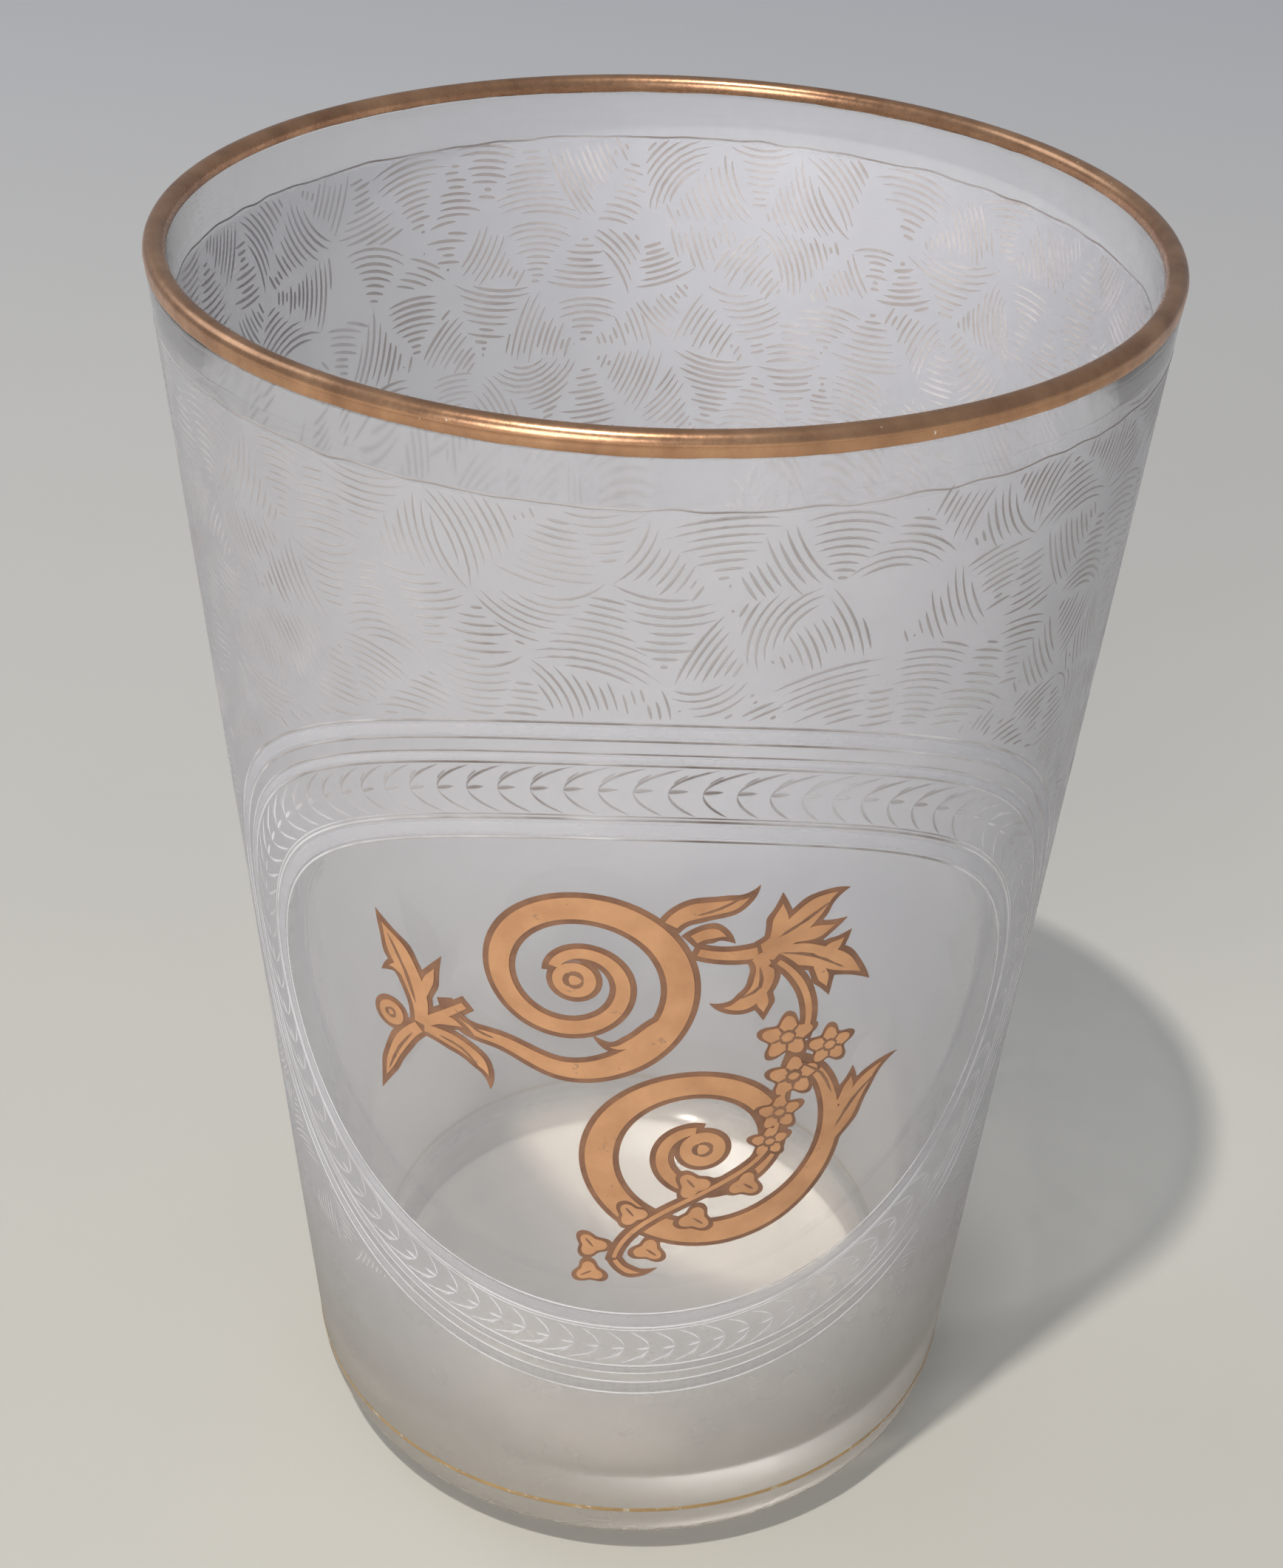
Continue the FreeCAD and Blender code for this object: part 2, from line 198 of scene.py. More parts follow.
# %% Broad mottling between two colours
def make_mottle():
    group, way_in, way_out = start_group(
        "mottle",
        [("Light colour", "NodeSocketColor", (1, 1, 1, 1)),
         ("Dark colour", "NodeSocketColor", (0.5, 0.5, 0.5, 1)),
         ("Scale", "NodeSocketFloat", 200.0),
         ("Contrast", "NodeSocketFloat", 0.25)],
        [("Color", "NodeSocketColor"), ("Value", "NodeSocketFloat")],
    )
    cloud = noise_at(group, way_in, "Scale", 4.0)
    low = math_node(group, "SUBTRACT", 0.5, way_in.outputs["Contrast"])
    high = math_node(group, "ADD", 0.5, way_in.outputs["Contrast"])
    spread = ramp(group, cloud, low, high)
    blend = mix_colours(group, spread, way_in.outputs["Dark colour"], way_in.outputs["Light colour"])
    group.links.new(blend, way_out.inputs["Color"])
    group.links.new(spread, way_out.inputs["Value"])
    return group


MOTTLE = make_mottle()
print("group", MOTTLE.name, "with", len(MOTTLE.nodes), "nodes")


# %% Small specks of wear
def make_wear():
    group, way_in, way_out = start_group(
        "rubbed_specks",
        [("Scale", "NodeSocketFloat", 1500.0),
         ("Amount", "NodeSocketFloat", 0.3),
         ("Softness", "NodeSocketFloat", 0.05)],
        [("Mask", "NodeSocketFloat")],
    )
    cloud = noise_at(group, way_in, "Scale", 3.0, roughness=0.7)
    start = math_node(group, "SUBTRACT", 1.0, way_in.outputs["Amount"])
    stop = math_node(group, "ADD", start, way_in.outputs["Softness"])
    specks = ramp(group, cloud, start, stop)
    specks.node.interpolation_type = "SMOOTHSTEP"
    group.links.new(specks, way_out.inputs["Mask"])
    return group


WEAR = make_wear()
print("group", WEAR.name, "with", len(WEAR.nodes), "nodes")


# %% [markdown]
# ### Starting a material
# Each finish starts from the Principled shader that Blender gives a new material. A group is then placed
# with its own values, and a bump node turns a mask into tiny relief.


# %% Helpers that place a group and a bump in a material
def start_material(name):
    material = bpy.data.materials.new(name)
    material.use_nodes = True
    tree = material.node_tree
    shader = tree.nodes["Principled BSDF"]
    return material, tree, shader


def place_group(tree, group, place, **values):
    node = add_node(tree, "ShaderNodeGroup", place, node_tree=group)
    for label, value in values.items():
        node.inputs[label.replace("_", " ")].default_value = value
    return node


def add_bump(tree, shader, source, strength, distance):
    bump = add_node(tree, "ShaderNodeBump", (-300, -300))
    bump.inputs["Strength"].default_value = strength
    bump.inputs["Distance"].default_value = distance
    tree.links.new(source, bump.inputs["Height"])
    tree.links.new(bump.outputs["Normal"], shader.inputs["Normal"])


print("shared groups:", [group.name for group in bpy.data.node_groups])

# %% [markdown]
# ## Clear glass with an etched skin
# Glass is a Principled shader with full transmission. Acid took the shine off the outer skin of the
# belt, so a mask made from height, from the medallion's oval and from the distance to the outer wall
# raises the roughness there and leaves the inner wall, the oval and the lip clear. The glass and the
# milky film both need this mask, so it is a node group. Painting the belt on by hand would also work,
# but a mask worked out from the sizes stays sharp at any distance.


# %% The oval medallion as numbers
OVAL_HEIGHT = 36.1 * MM
OVAL_WIDE = 24.4 * MM
OVAL_TALL = 15.65 * MM
OVAL_LEAN = math.radians(0.8)
OVAL_BORDER = 6.6 * MM


def oval_share(across, up, border=0.0):
    """Below 1 inside the oval grown by border, above 1 outside it. Across and up are on the sleeve."""
    side = across * math.cos(OVAL_LEAN) + (up - OVAL_HEIGHT) * math.sin(OVAL_LEAN)
    rise = -across * math.sin(OVAL_LEAN) + (up - OVAL_HEIGHT) * math.cos(OVAL_LEAN)
    return math.hypot(side / (OVAL_WIDE + border), rise / (OVAL_TALL + border))


print("oval, mm:", OVAL_WIDE * 2 / MM, "x", OVAL_TALL * 2 / MM)


# %% A mask that is 1 on the etched belt
def belt_mask(tree, top, foot, inside):
    """Object coordinates to 0 on clear glass and 1 where the acid took the shine, and the height."""
    where = add_node(tree, "ShaderNodeTexCoord", (-500, 0))
    split = add_node(tree, "ShaderNodeSeparateXYZ", (-400, 0))
    tree.links.new(where.outputs["Object"], split.inputs[0])
    x, y, z = split.outputs
    angle = math_node(tree, "ARCTAN2", x, math_node(tree, "MULTIPLY", y, -1.0))
    across = math_node(tree, "MULTIPLY", angle, SLEEVE_RADIUS)
    up = math_node(tree, "SUBTRACT", z, OVAL_HEIGHT)
    cosine, sine = math.cos(OVAL_LEAN), math.sin(OVAL_LEAN)
    shares = []
    for along, over, reach in ((cosine, sine, OVAL_WIDE), (-sine, cosine, OVAL_TALL)):
        leaned = math_node(tree, "ADD", math_node(tree, "MULTIPLY", across, along),
                           math_node(tree, "MULTIPLY", up, over))
        share = math_node(tree, "MULTIPLY", leaned, 1 / (reach + 0.5 * MM))
        shares.append(math_node(tree, "POWER", share, 2.0))
    outside = ramp(tree, math_node(tree, "ADD", *shares), 0.93, 1.05)
    kept = ramp(tree, outside, 0.0, 1.0, inside, 1.0)
    under_line = ramp(tree, math_node(tree, "SUBTRACT", top, z), -0.2 * MM, 0.3 * MM)
    above_foot = ramp(tree, math_node(tree, "SUBTRACT", z, foot), -1.6 * MM, 1.6 * MM)
    squares = [math_node(tree, "POWER", part, 2.0) for part in (x, y)]
    radius = math_node(tree, "SQRT", math_node(tree, "ADD", *squares))
    wall = math_node(tree, "MULTIPLY_ADD", z, WALL_SLOPE, FOOT_RADIUS)
    skin = ramp(tree, math_node(tree, "SUBTRACT", radius, wall), -0.4 * MM, -0.3 * MM)
    skin = math_node(tree, "MAXIMUM", skin, ramp(tree, z, 4.7 * MM, 4.3 * MM))
    belt = math_node(tree, "MULTIPLY", under_line, above_foot)
    belt = math_node(tree, "MULTIPLY", belt, skin)
    return math_node(tree, "MULTIPLY", belt, kept), z


BELT_TOP = 68.7 * MM
BELT_FOOT = 1.2 * MM


def make_belt():
    group, way_in, way_out = start_group(
        "etched_belt",
        [("Top", "NodeSocketFloat", BELT_TOP), ("Foot", "NodeSocketFloat", BELT_FOOT),
         ("Inside oval", "NodeSocketFloat", 0.2)],
        [("Mask", "NodeSocketFloat"), ("Height", "NodeSocketFloat")],
    )
    sockets = way_in.outputs
    mask, height = belt_mask(group, sockets["Top"], sockets["Foot"], sockets["Inside oval"])
    group.links.new(mask, way_out.inputs["Mask"])
    group.links.new(height, way_out.inputs["Height"])
    return group


BELT = make_belt()
print("group", BELT.name, "with", len(BELT.nodes), "nodes")


# %% [markdown]
# ### Light through the glass
# A lamp's light would take very many rays to find its way through curved glass. So shadow rays meet a
# clear shader with a tint instead: darker where the skin is etched and in the thick floor. Its tint is
# worked out from the same mask, with nodes of the material's own.


# %% The glass itself
CLEAR_OVAL = 0.10
SHADE_FOOT = 2.4 * MM
FLOOR_FADE = (6.5 * MM, 5.2 * MM)


def make_glass_material():
    material, tree, shader = start_material("blown_glass")
    shader.inputs["Transmission Weight"].default_value = 1.0
    shader.inputs["IOR"].default_value = 1.5
    belt = place_group(tree, BELT, (-700, 0), Inside_oval=CLEAR_OVAL)
    drift = place_group(tree, MOTTLE, (-700, -300), Scale=900.0, Contrast=0.25)
    grain = ramp(tree, drift.outputs["Value"], 0.0, 1.0, 0.85, 1.1)
    frost = math_node(tree, "MULTIPLY", belt.outputs["Mask"], grain)
    tree.links.new(ramp(tree, frost, 0.0, 1.0, 0.03, 0.34), shader.inputs["Roughness"])
    in_floor = ramp(tree, belt.outputs["Height"], *FLOOR_FADE)
    body = mix_colours(tree, in_floor, (0.965, 0.968, 0.985, 1), (0.955, 0.935, 0.905, 1))
    tree.links.new(body, shader.inputs["Base Color"])
    light_path = add_node(tree, "ShaderNodeLightPath", (300, 500))
    etched, height = belt_mask(tree, BELT_TOP, SHADE_FOOT, CLEAR_OVAL)
    shade_low = ramp(tree, height, *FLOOR_FADE)
    shade = mix_colours(tree, shade_low, (0.93, 0.93, 0.94, 1), (0.72, 0.68, 0.66, 1))
    clear = add_node(tree, "ShaderNodeBsdfTransparent", (300, 100))
    tint = mix_colours(tree, etched, shade, (0.49, 0.50, 0.53, 1))
    tree.links.new(tint, clear.inputs["Color"])
    choice = add_node(tree, "ShaderNodeMixShader", (550, 300))
    tree.links.new(light_path.outputs["Is Shadow Ray"], choice.inputs[0])
    tree.links.new(shader.outputs[0], choice.inputs[1])
    tree.links.new(clear.outputs[0], choice.inputs[2])
    tree.links.new(choice.outputs[0], tree.nodes["Material Output"].inputs["Surface"])
    return material


BLOWN_GLASS = make_glass_material()
print("material", BLOWN_GLASS.name, "with", len(BLOWN_GLASS.node_tree.nodes), "nodes")


# %% [markdown]
# ## Fired gold
# Bright gold on glass is a very thin copper-toned film. It isn't a mirror: it has soft brush mottling,
# pin-prick specks and places where fingers have rubbed it duller. One builder makes all three golds:
# the lip band is glossier and deeper, the scroll gold is flatter and more orange, and the hairline at
# the foot is dull and worn.


# %% A builder for gold finishes
def make_gold(name, light, dark, rubbed, metallic, rough, spot_scale, spot_amount):
    material, tree, shader = start_material(name)
    body = place_group(tree, MOTTLE, (-900, 200), Light_colour=light, Dark_colour=dark,
                       Scale=420.0, Contrast=0.22)
    fine = place_group(tree, MOTTLE, (-900, -400), Scale=2600.0, Contrast=0.3)
    specks = place_group(tree, WEAR, (-900, -100), Scale=spot_scale, Amount=spot_amount, Softness=0.06)
    worn = mix_colours(tree, specks.outputs["Mask"], body.outputs["Color"], rubbed)
    tree.links.new(worn, shader.inputs["Base Color"])
    less = ramp(tree, specks.outputs["Mask"], 0.0, 1.0, metallic, metallic * 0.35)
    tree.links.new(less, shader.inputs["Metallic"])
    dull = ramp(tree, fine.outputs["Value"], 0.0, 1.0, rough * 0.8, rough * 1.3)
    tree.links.new(dull, shader.inputs["Roughness"])
    add_bump(tree, shader, fine.outputs["Value"], 0.25, 0.00002)
    return material


print("one builder for every gold")


# %% Lip gold, scroll gold and foot gold
LIP_GOLD = make_gold("burnished_gold", (0.70, 0.40, 0.23, 1), (0.42, 0.225, 0.13, 1), (0.90, 0.76, 0.62, 1),
                     0.88, 0.27, 1700.0, 0.28)
SCROLL_GOLD = make_gold("painted_gold", (0.76, 0.405, 0.205, 1), (0.58, 0.29, 0.14, 1), (0.50, 0.27, 0.15, 1),
                        0.20, 0.45, 1500.0, 0.35)
FOOT_GOLD = make_gold("hairline_gold", (0.58, 0.38, 0.16, 1), (0.40, 0.26, 0.13, 1), (0.62, 0.54, 0.42, 1),
                      0.5, 0.40, 1500.0, 0.42)
print("golds:", [gold.name for gold in (LIP_GOLD, SCROLL_GOLD, FOOT_GOLD)])

# %% [markdown]
# ## Brown contour enamel
# The gold was laid on a brown ground that still shows as a fine dark contour. It is a satin enamel
# that varies a little in tone and is duller where it is worn.


# %% A builder for the brown enamel
def make_enamel(name, light, dark, rough):
    material, tree, shader = start_material(name)
    body = place_group(tree, MOTTLE, (-700, 200), Light_colour=light, Dark_colour=dark,
                       Scale=900.0, Contrast=0.25)
    specks = place_group(tree, WEAR, (-700, -150), Scale=2400.0, Amount=0.38, Softness=0.08)
    tree.links.new(body.outputs["Color"], shader.inputs["Base Color"])
    dull = ramp(tree, specks.outputs["Mask"], 0.0, 1.0, rough, rough + 0.25)
    tree.links.new(dull, shader.inputs["Roughness"])
    add_bump(tree, shader, specks.outputs["Mask"], 0.2, 0.00002)
    return material


BROWN_ENAMEL = make_enamel("brown_enamel", (0.36, 0.18, 0.10, 1), (0.20, 0.095, 0.055, 1), 0.5)
print("enamel:", BROWN_ENAMEL.name)

# %% [markdown]
# ## Etched lines
# An etched line is matt glass, and it looks dark against a lit wall and pale against a dim one. Lines
# as see-through as the glass would each use up one of the bounces that a ray may have, and there are
# thousands of them, so they are opaque, and that look is painted into their colour instead: painted shade
# darkens them at the front and top, and painted light makes them pale away from there.


# %% Etched lines: pale matt strokes
def make_etched(name, light, dark, centre, reach):
    """Matt glass, with painted shade darkest round one height at the front and painted light paler away from
    it.
    """
    material, tree, shader = start_material(name)
    where = add_node(tree, "ShaderNodeTexCoord", (-1100, 0))
    split = add_node(tree, "ShaderNodeSeparateXYZ", (-900, 0))
    tree.links.new(where.outputs["Object"], split.inputs[0])
    side = math_node(tree, "POWER", split.outputs[0], 2.0)
    up = math_node(tree, "POWER", math_node(tree, "SUBTRACT", split.outputs[2], centre), 2.0)
    far = math_node(tree, "SQRT", math_node(tree, "ADD", side, up))
    # Painted shade round the centre, fading to painted light away from it.
    painted_light_fade = ramp(tree, far, reach * 0.4, reach)
    drift = place_group(tree, MOTTLE, (-700, -200), Scale=170.0, Contrast=0.16)
    fade = math_node(tree, "MULTIPLY", painted_light_fade, 0.55)
    pale = math_node(tree, "MULTIPLY_ADD", drift.outputs["Value"], 0.75, fade)
    tree.links.new(mix_colours(tree, ramp(tree, pale, 0.0, 1.0), dark, light), shader.inputs["Base Color"])
    grit = place_group(tree, WEAR, (-700, -500), Scale=2600.0, Amount=0.5, Softness=0.2)
    tree.links.new(ramp(tree, grit.outputs["Mask"], 0.0, 1.0, 0.32, 0.6), shader.inputs["Roughness"])
    return material


# Each copy carries its own painted light and shade: paler at the back, darker at the front and in the
# medallion.
BACK_STROKE = make_etched("back_stroke", (0.84, 0.82, 0.83, 1), (0.46, 0.41, 0.39, 1), 66 * MM, 34 * MM)
FRONT_STROKE = make_etched("front_stroke", (0.64, 0.62, 0.62, 1), (0.28, 0.235, 0.215, 1), 66 * MM, 50 * MM)
MEDALLION_CUT = make_etched("medallion_cut", (0.80, 0.79, 0.81, 1), (0.16, 0.12, 0.10, 1), 56 * MM, 24 * MM)
print("etched finishes:", [cut.name for cut in (BACK_STROKE, FRONT_STROKE, MEDALLION_CUT)])

# %% [markdown]
# ## Milky haze
# Acid and age leave a haze between the lines. It is one matt finish, mostly see-through: thicker on the
# belt, thin in the oval and under the lip, and thickest, warmest and darkest near the foot.


# %% The milky film that the acid left
def make_veil(name, thin, thick, inside):
    material, tree, shader = start_material(name)
    body = place_group(tree, MOTTLE, (-700, 300), Light_colour=(0.90, 0.895, 0.93, 1),
                       Dark_colour=(0.82, 0.81, 0.85, 1), Scale=220.0, Contrast=0.25)
    belt = place_group(tree, BELT, (-700, 0), Inside_oval=inside)
    near_foot = ramp(tree, belt.outputs["Height"], 24 * MM, 5 * MM)
    # The film's colour is made darker and warmer towards the foot.
    foot_tone = mix_colours(tree, near_foot, body.outputs["Color"], (0.50, 0.46, 0.405, 1))
    tree.links.new(foot_tone, shader.inputs["Base Color"])
    shader.inputs["Roughness"].default_value = 0.8
    shader.inputs["Specular IOR Level"].default_value = 0.2
    drift = place_group(tree, MOTTLE, (-700, -300), Scale=300.0, Contrast=0.2)
    grain = ramp(tree, drift.outputs["Value"], 0.0, 1.0, 0.75, 1.0)
    cloud = math_node(tree, "MULTIPLY", belt.outputs["Mask"], grain)
    film = ramp(tree, cloud, 0.0, 1.0, thin, thick)
    tree.links.new(math_node(tree, "MULTIPLY_ADD", near_foot, 0.17, film), shader.inputs["Alpha"])
    return material


MILKY_VEIL = make_veil("milky_veil", 0.14, 0.27, 0.0)
MILKY_STRIPE = make_veil("milky_stripe", 0.25, 0.36, 0.8)
print("materials so far:", [material.name for material in bpy.data.materials])


# %% [markdown]
# ## Throwing the glass ring by ring
# A glass is a turned shape, so a ring of points is carried along its outline: out over the foot, round
# the heel, up the wall, over the lip, down inside and across the floor. Extruding the ring and resizing
# it about the axis is the same as drawing the outline and spinning it, and it shows each step.


# %% Rings carried along an outline
def only(piece):
    """Deselect everything and make one piece the active one."""
    if bpy.context.object and bpy.context.object.mode != "OBJECT":
        bpy.ops.object.mode_set(mode="OBJECT")
    bpy.ops.object.select_all(action="DESELECT")
    piece.select_set(True)
    bpy.context.view_layer.objects.active = piece


def carry_ring(start, stop):
    """Extrude the selected ring and move it from one (half width, half depth, height) to the next."""
    bpy.ops.mesh.extrude_region_move(TRANSFORM_OT_translate={"value": (0, 0, stop[2] - start[2])})
    grow = (stop[0] / start[0], stop[1] / start[1], 1)
    bpy.ops.transform.resize(value=grow, center_override=(0, 0, stop[2]))


def turned(outline):
    """An outline of (radius, height) points as round rings."""
    return [(radius, radius, height) for radius, height in outline]


def arc(middle, radius, start, stop, steps):
    """Points of a rounded corner on an outline, angles in degrees."""
    turn = [math.radians(start + (stop - start) * step / steps) for step in range(steps + 1)]
    return [(middle[0] + radius * math.cos(a), middle[1] + radius * math.sin(a)) for a in turn]


def throw(name, rings, sides, closed):
    """Carry one ring through all the others; closed joins the two ends, else both get a lid."""
    bpy.ops.mesh.primitive_circle_add(vertices=sides, radius=1.0, location=(0, 0, rings[0][2]),
                                      fill_type="NOTHING")
    piece = bpy.context.object
    piece.name = piece.data.name = name
    piece.scale = (rings[0][0], rings[0][1], 1)
    bpy.ops.object.transform_apply(location=True, rotation=True, scale=True)
    bpy.ops.object.mode_set(mode="EDIT")
    bpy.ops.mesh.select_all(action="SELECT")
    if not closed:
        bpy.ops.mesh.edge_face_add()
        bpy.ops.mesh.select_all(action="SELECT")
        bpy.ops.mesh.region_to_loop()
    for start, stop in zip(rings, rings[1:]):
        carry_ring(start, stop)
    if not closed:
        bpy.ops.mesh.edge_face_add()
    else:
        bpy.ops.mesh.select_all(action="DESELECT")
        bpy.ops.mesh.select_non_manifold()
        bpy.ops.mesh.bridge_edge_loops()
    bpy.ops.mesh.select_all(action="SELECT")
    bpy.ops.mesh.remove_doubles(threshold=1e-7)
    bpy.ops.mesh.normals_make_consistent(inside=False)
    bpy.ops.object.mode_set(mode="OBJECT")
    return piece


def smooth(piece, angle=40):
    only(piece)
    bpy.ops.object.shade_smooth_by_angle(angle=math.radians(angle), keep_sharp_edges=True)


def finish_piece(piece, material):
    """Give the piece its finish and its body."""
    piece.data.materials.clear()
    piece.data.materials.append(material)
    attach(piece, "root")
    print(f"{piece.name}: {len(piece.data.polygons)} faces")


print("a quarter arc in three steps:", [(round(x, 2), round(y, 2)) for x, y in arc((0, 0), 1.0, 0, 90, 3)])

# %% [markdown]
# ### The outline
# The outline starts at the middle of the hollow underside, goes out to the ring that touches the
# table, round the heel, up the straight wall, over the lip and down again to a rounded corner at the
# floor. Arcs are drawn from their middle, so that they meet the leaning wall without a kink.

# %% The outline of the blown glass
LEAN = math.degrees(math.atan(WALL_SLOPE))
INNER_LEAN = math.degrees(math.atan(INNER_SLOPE))
LIP_ROUND = 0.46 * MM
HEEL = 4.0 * MM
CORNER = 1.8 * MM
heel_middle = (wall_radius(HEEL) - HEEL * math.hypot(1, WALL_SLOPE), HEEL)
corner_height = FLOOR_HEIGHT + CORNER
corner_middle = (inner_radius(corner_height) - CORNER * math.hypot(1, INNER_SLOPE), corner_height)
lip_height = GLASS_TOP - LIP_ROUND
lip_out = (wall_radius(lip_height) - LIP_ROUND * math.hypot(1, WALL_SLOPE), lip_height)
lip_in = (inner_radius(lip_height) + LIP_ROUND * math.hypot(1, INNER_SLOPE), lip_height)
wall_steps = [8 + 3 * step for step in range(21)]

glass_outline = [(0.9 * MM, 0.22 * MM), (6 * MM, 0.21 * MM), (11.5 * MM, 0.12 * MM), (13.4 * MM, 0.015 * MM)]
glass_outline += arc(heel_middle, HEEL, -84, -LEAN, 14)
glass_outline += [(wall_radius(h * MM), h * MM) for h in wall_steps]
glass_outline += arc(lip_out, LIP_ROUND, -LEAN, 90, 10) + arc(lip_in, LIP_ROUND, 92, 180 - INNER_LEAN, 10)
glass_outline += [(inner_radius(h * MM), h * MM) for h in reversed(wall_steps) if h > 9]
glass_outline += arc(corner_middle, CORNER, -INNER_LEAN, -90, 12)
glass_outline += [(12 * MM, 5.02 * MM), (7 * MM, 5.05 * MM), (0.9 * MM, 5.06 * MM)]
print("outline points:", len(glass_outline), "corner at radius", round(corner_middle[0] / MM, 2))

# %% Turn the glass
blown_glass = throw("blown_glass", turned(glass_outline), 200, closed=False)
smooth(blown_glass, 60)
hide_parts("glass_body")
finish_piece(blown_glass, BLOWN_GLASS)


# %% [markdown]
# ## The gold over the lip
# The band is a saddle of gold that hugs the lip. Its outside has a faint crease half way down, where
# the brush left a thicker line, and its lower edge wavers a little because it was laid by hand on a
# turning wheel. It is turned in the same way, closed on itself, and its edge rings are then nudged.


# %% Outline of the lip band
FILM = 0.05 * MM
rim_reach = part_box("rim_gilding")[1].x
band_low, band_inside_low = GLASS_TOP - 1.0 * MM, GLASS_TOP - 0.7 * MM
band_outline = [
    (wall_radius(band_low) + 0.012 * MM, band_low),
    (wall_radius(band_low) + 0.042 * MM, band_low + 0.04 * MM),
    (wall_radius(band_low) + 0.052 * MM, band_low + 0.14 * MM),
    (wall_radius(band_low) + 0.060 * MM, band_low + 0.34 * MM),
    (wall_radius(band_low) + 0.045 * MM, band_low + 0.42 * MM),
    (wall_radius(band_low) + 0.068 * MM, band_low + 0.50 * MM),
]
band_outline += arc(lip_out, LIP_ROUND + FILM, -2, 88, 12) + arc(lip_in, LIP_ROUND + FILM, 92, 174, 10)
band_outline += [
    (inner_radius(band_inside_low) - 0.045 * MM, band_inside_low + 0.05 * MM),
    (inner_radius(band_inside_low) - 0.012 * MM, band_inside_low),
    (inner_radius(band_inside_low) + 0.02 * MM, band_inside_low + 0.02 * MM),
]
band_outline += list(reversed(arc(lip_in, LIP_ROUND - 0.03 * MM, 92, 170, 6)))
band_outline += list(reversed(arc(lip_out, LIP_ROUND - 0.03 * MM, 0, 88, 6)))
band_outline += [(wall_radius(band_low) - 0.02 * MM, band_low + 0.03 * MM)]
widest = max(radius for radius, height in band_outline)
print("band reaches", round(widest / MM, 3), "mm; the CAD band", round(rim_reach / MM, 3))


# %% Turn the band and let its edges waver
def waver(piece, low, high, amount, turns):
    """Nudge the points between two heights up and down, a little differently all round."""
    moved = 0
    for point in piece.data.vertices:
        if low <= point.co.z <= high:
            angle = math.atan2(point.co.x, -point.co.y)
            lift = noise.noise(Vector((math.cos(angle), math.sin(angle), 0.3)) * turns)
            fine = noise.noise(Vector((math.cos(angle), math.sin(angle), 1.7)) * turns * 6)
            point.co.z += amount * (lift + 0.5 * fine)
            moved += 1
    piece.data.update()
    return moved


lip_band = throw("lip_band", turned(band_outline), 360, closed=True)
inset = min(1.0, (rim_reach - 0.002 * MM) / widest)
print("points nudged:", waver(lip_band, band_low - 0.1 * MM, band_low + 0.16 * MM, 0.07 * MM, 3.0))
if inset < 1:
    lip_band.data.transform(Matrix.Diagonal((inset, inset, 1, 1)))
smooth(lip_band, 50)
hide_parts("rim_gilding")
finish_piece(lip_band, LIP_GOLD)

# %% [markdown]
# ## The hairline at the foot
# A second, much finer gold line runs round just above the heel. It is a flat ribbon with rounded
# edges, turned like the band.

# %% Turn the foot line
line_low, line_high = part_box("foot_gilding")[0].z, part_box("foot_gilding")[1].z
line_outline = [
    (wall_radius(line_low) - 0.02 * MM, line_low + 0.01 * MM),
    (wall_radius(line_low) + 0.018 * MM, line_low + 0.01 * MM),
    (wall_radius(line_low) + 0.036 * MM, line_low + 0.07 * MM),
    (wall_radius(line_high) + 0.036 * MM, line_high - 0.07 * MM),
    (wall_radius(line_high) + 0.018 * MM, line_high - 0.01 * MM),
    (wall_radius(line_high) - 0.02 * MM, line_high - 0.01 * MM),
]
foot_line = throw("foot_line", turned(line_outline), 300, closed=True)
smooth(foot_line, 50)
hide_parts("foot_gilding")
finish_piece(foot_line, FOOT_GOLD)


# %% [markdown]
# ## One stroke, used everywhere
# Acid-cut feathers, medallion chevrons and the brown veins are all the same thing: a short raised
# stroke that tapers at both ends. It is modelled once from a three-sided bar, cut into lengths and
# pinched at the ends, and then bent along each line that the pattern needs.


# %% Model the stroke
def pick(piece, test):
    """In edit mode, select the points that pass a test and nothing else."""
    bpy.ops.mesh.select_all(action="DESELECT")
    bpy.ops.mesh.select_mode(type="VERT")
    shape = bmesh.from_edit_mesh(piece.data)
    for point in shape.verts:
        point.select = test(point.co)
    shape.select_flush(True)
    bmesh.update_edit_mesh(piece.data)


def cut_bar(name, cuts):
    """A three-sided bar along X, one unit long, cut evenly across."""
    bpy.ops.mesh.primitive_cylinder_add(vertices=3, radius=1.0, depth=1.0, end_fill_type="NGON",
                                        rotation=(0, math.radians(90), 0))
    piece = bpy.context.object
    piece.name = piece.data.name = name
    bpy.ops.object.transform_apply(location=False, rotation=True, scale=False)
    piece.rotation_euler = (math.radians(90), 0, 0)
    piece.scale = (1, 0.577, 0.8)
    bpy.ops.object.transform_apply(location=False, rotation=True, scale=True)
    bpy.ops.object.mode_set(mode="EDIT")
    for cut in range(1, cuts + 1):
        bpy.ops.mesh.select_all(action="SELECT")
        bpy.ops.mesh.bisect(plane_co=(cut / (cuts + 1) - 0.5, 0, 0), plane_no=(1, 0, 0))
    return piece


def pinch(piece, cuts, fullness):
    """Merge both ends to points and slim the cuts next to them."""
    for end in (-0.5, 0.5):
        pick(piece, lambda co: abs(co.x - end) < 0.01)
        bpy.ops.mesh.merge(type="CENTER")
    for cut, share in enumerate(fullness, start=1):
        for side in (-1, 1):
            spot = side * (0.5 - cut / (cuts + 1))
            pick(piece, lambda co: abs(co.x - spot) < 0.01)
            bpy.ops.transform.resize(value=(1, share, share), center_override=(spot, 0, 0))
    bpy.ops.mesh.select_all(action="SELECT")
    bpy.ops.mesh.quads_convert_to_tris()
    bpy.ops.mesh.normals_make_consistent(inside=False)
    bpy.ops.object.mode_set(mode="OBJECT")


stroke_model = cut_bar("stroke_model", 5)
pinch(stroke_model, 5, (0.72, 0.95))
for point in stroke_model.data.vertices:
    print([round(c, 2) for c in point.co], end=" ")
print(len(stroke_model.data.polygons), "faces")


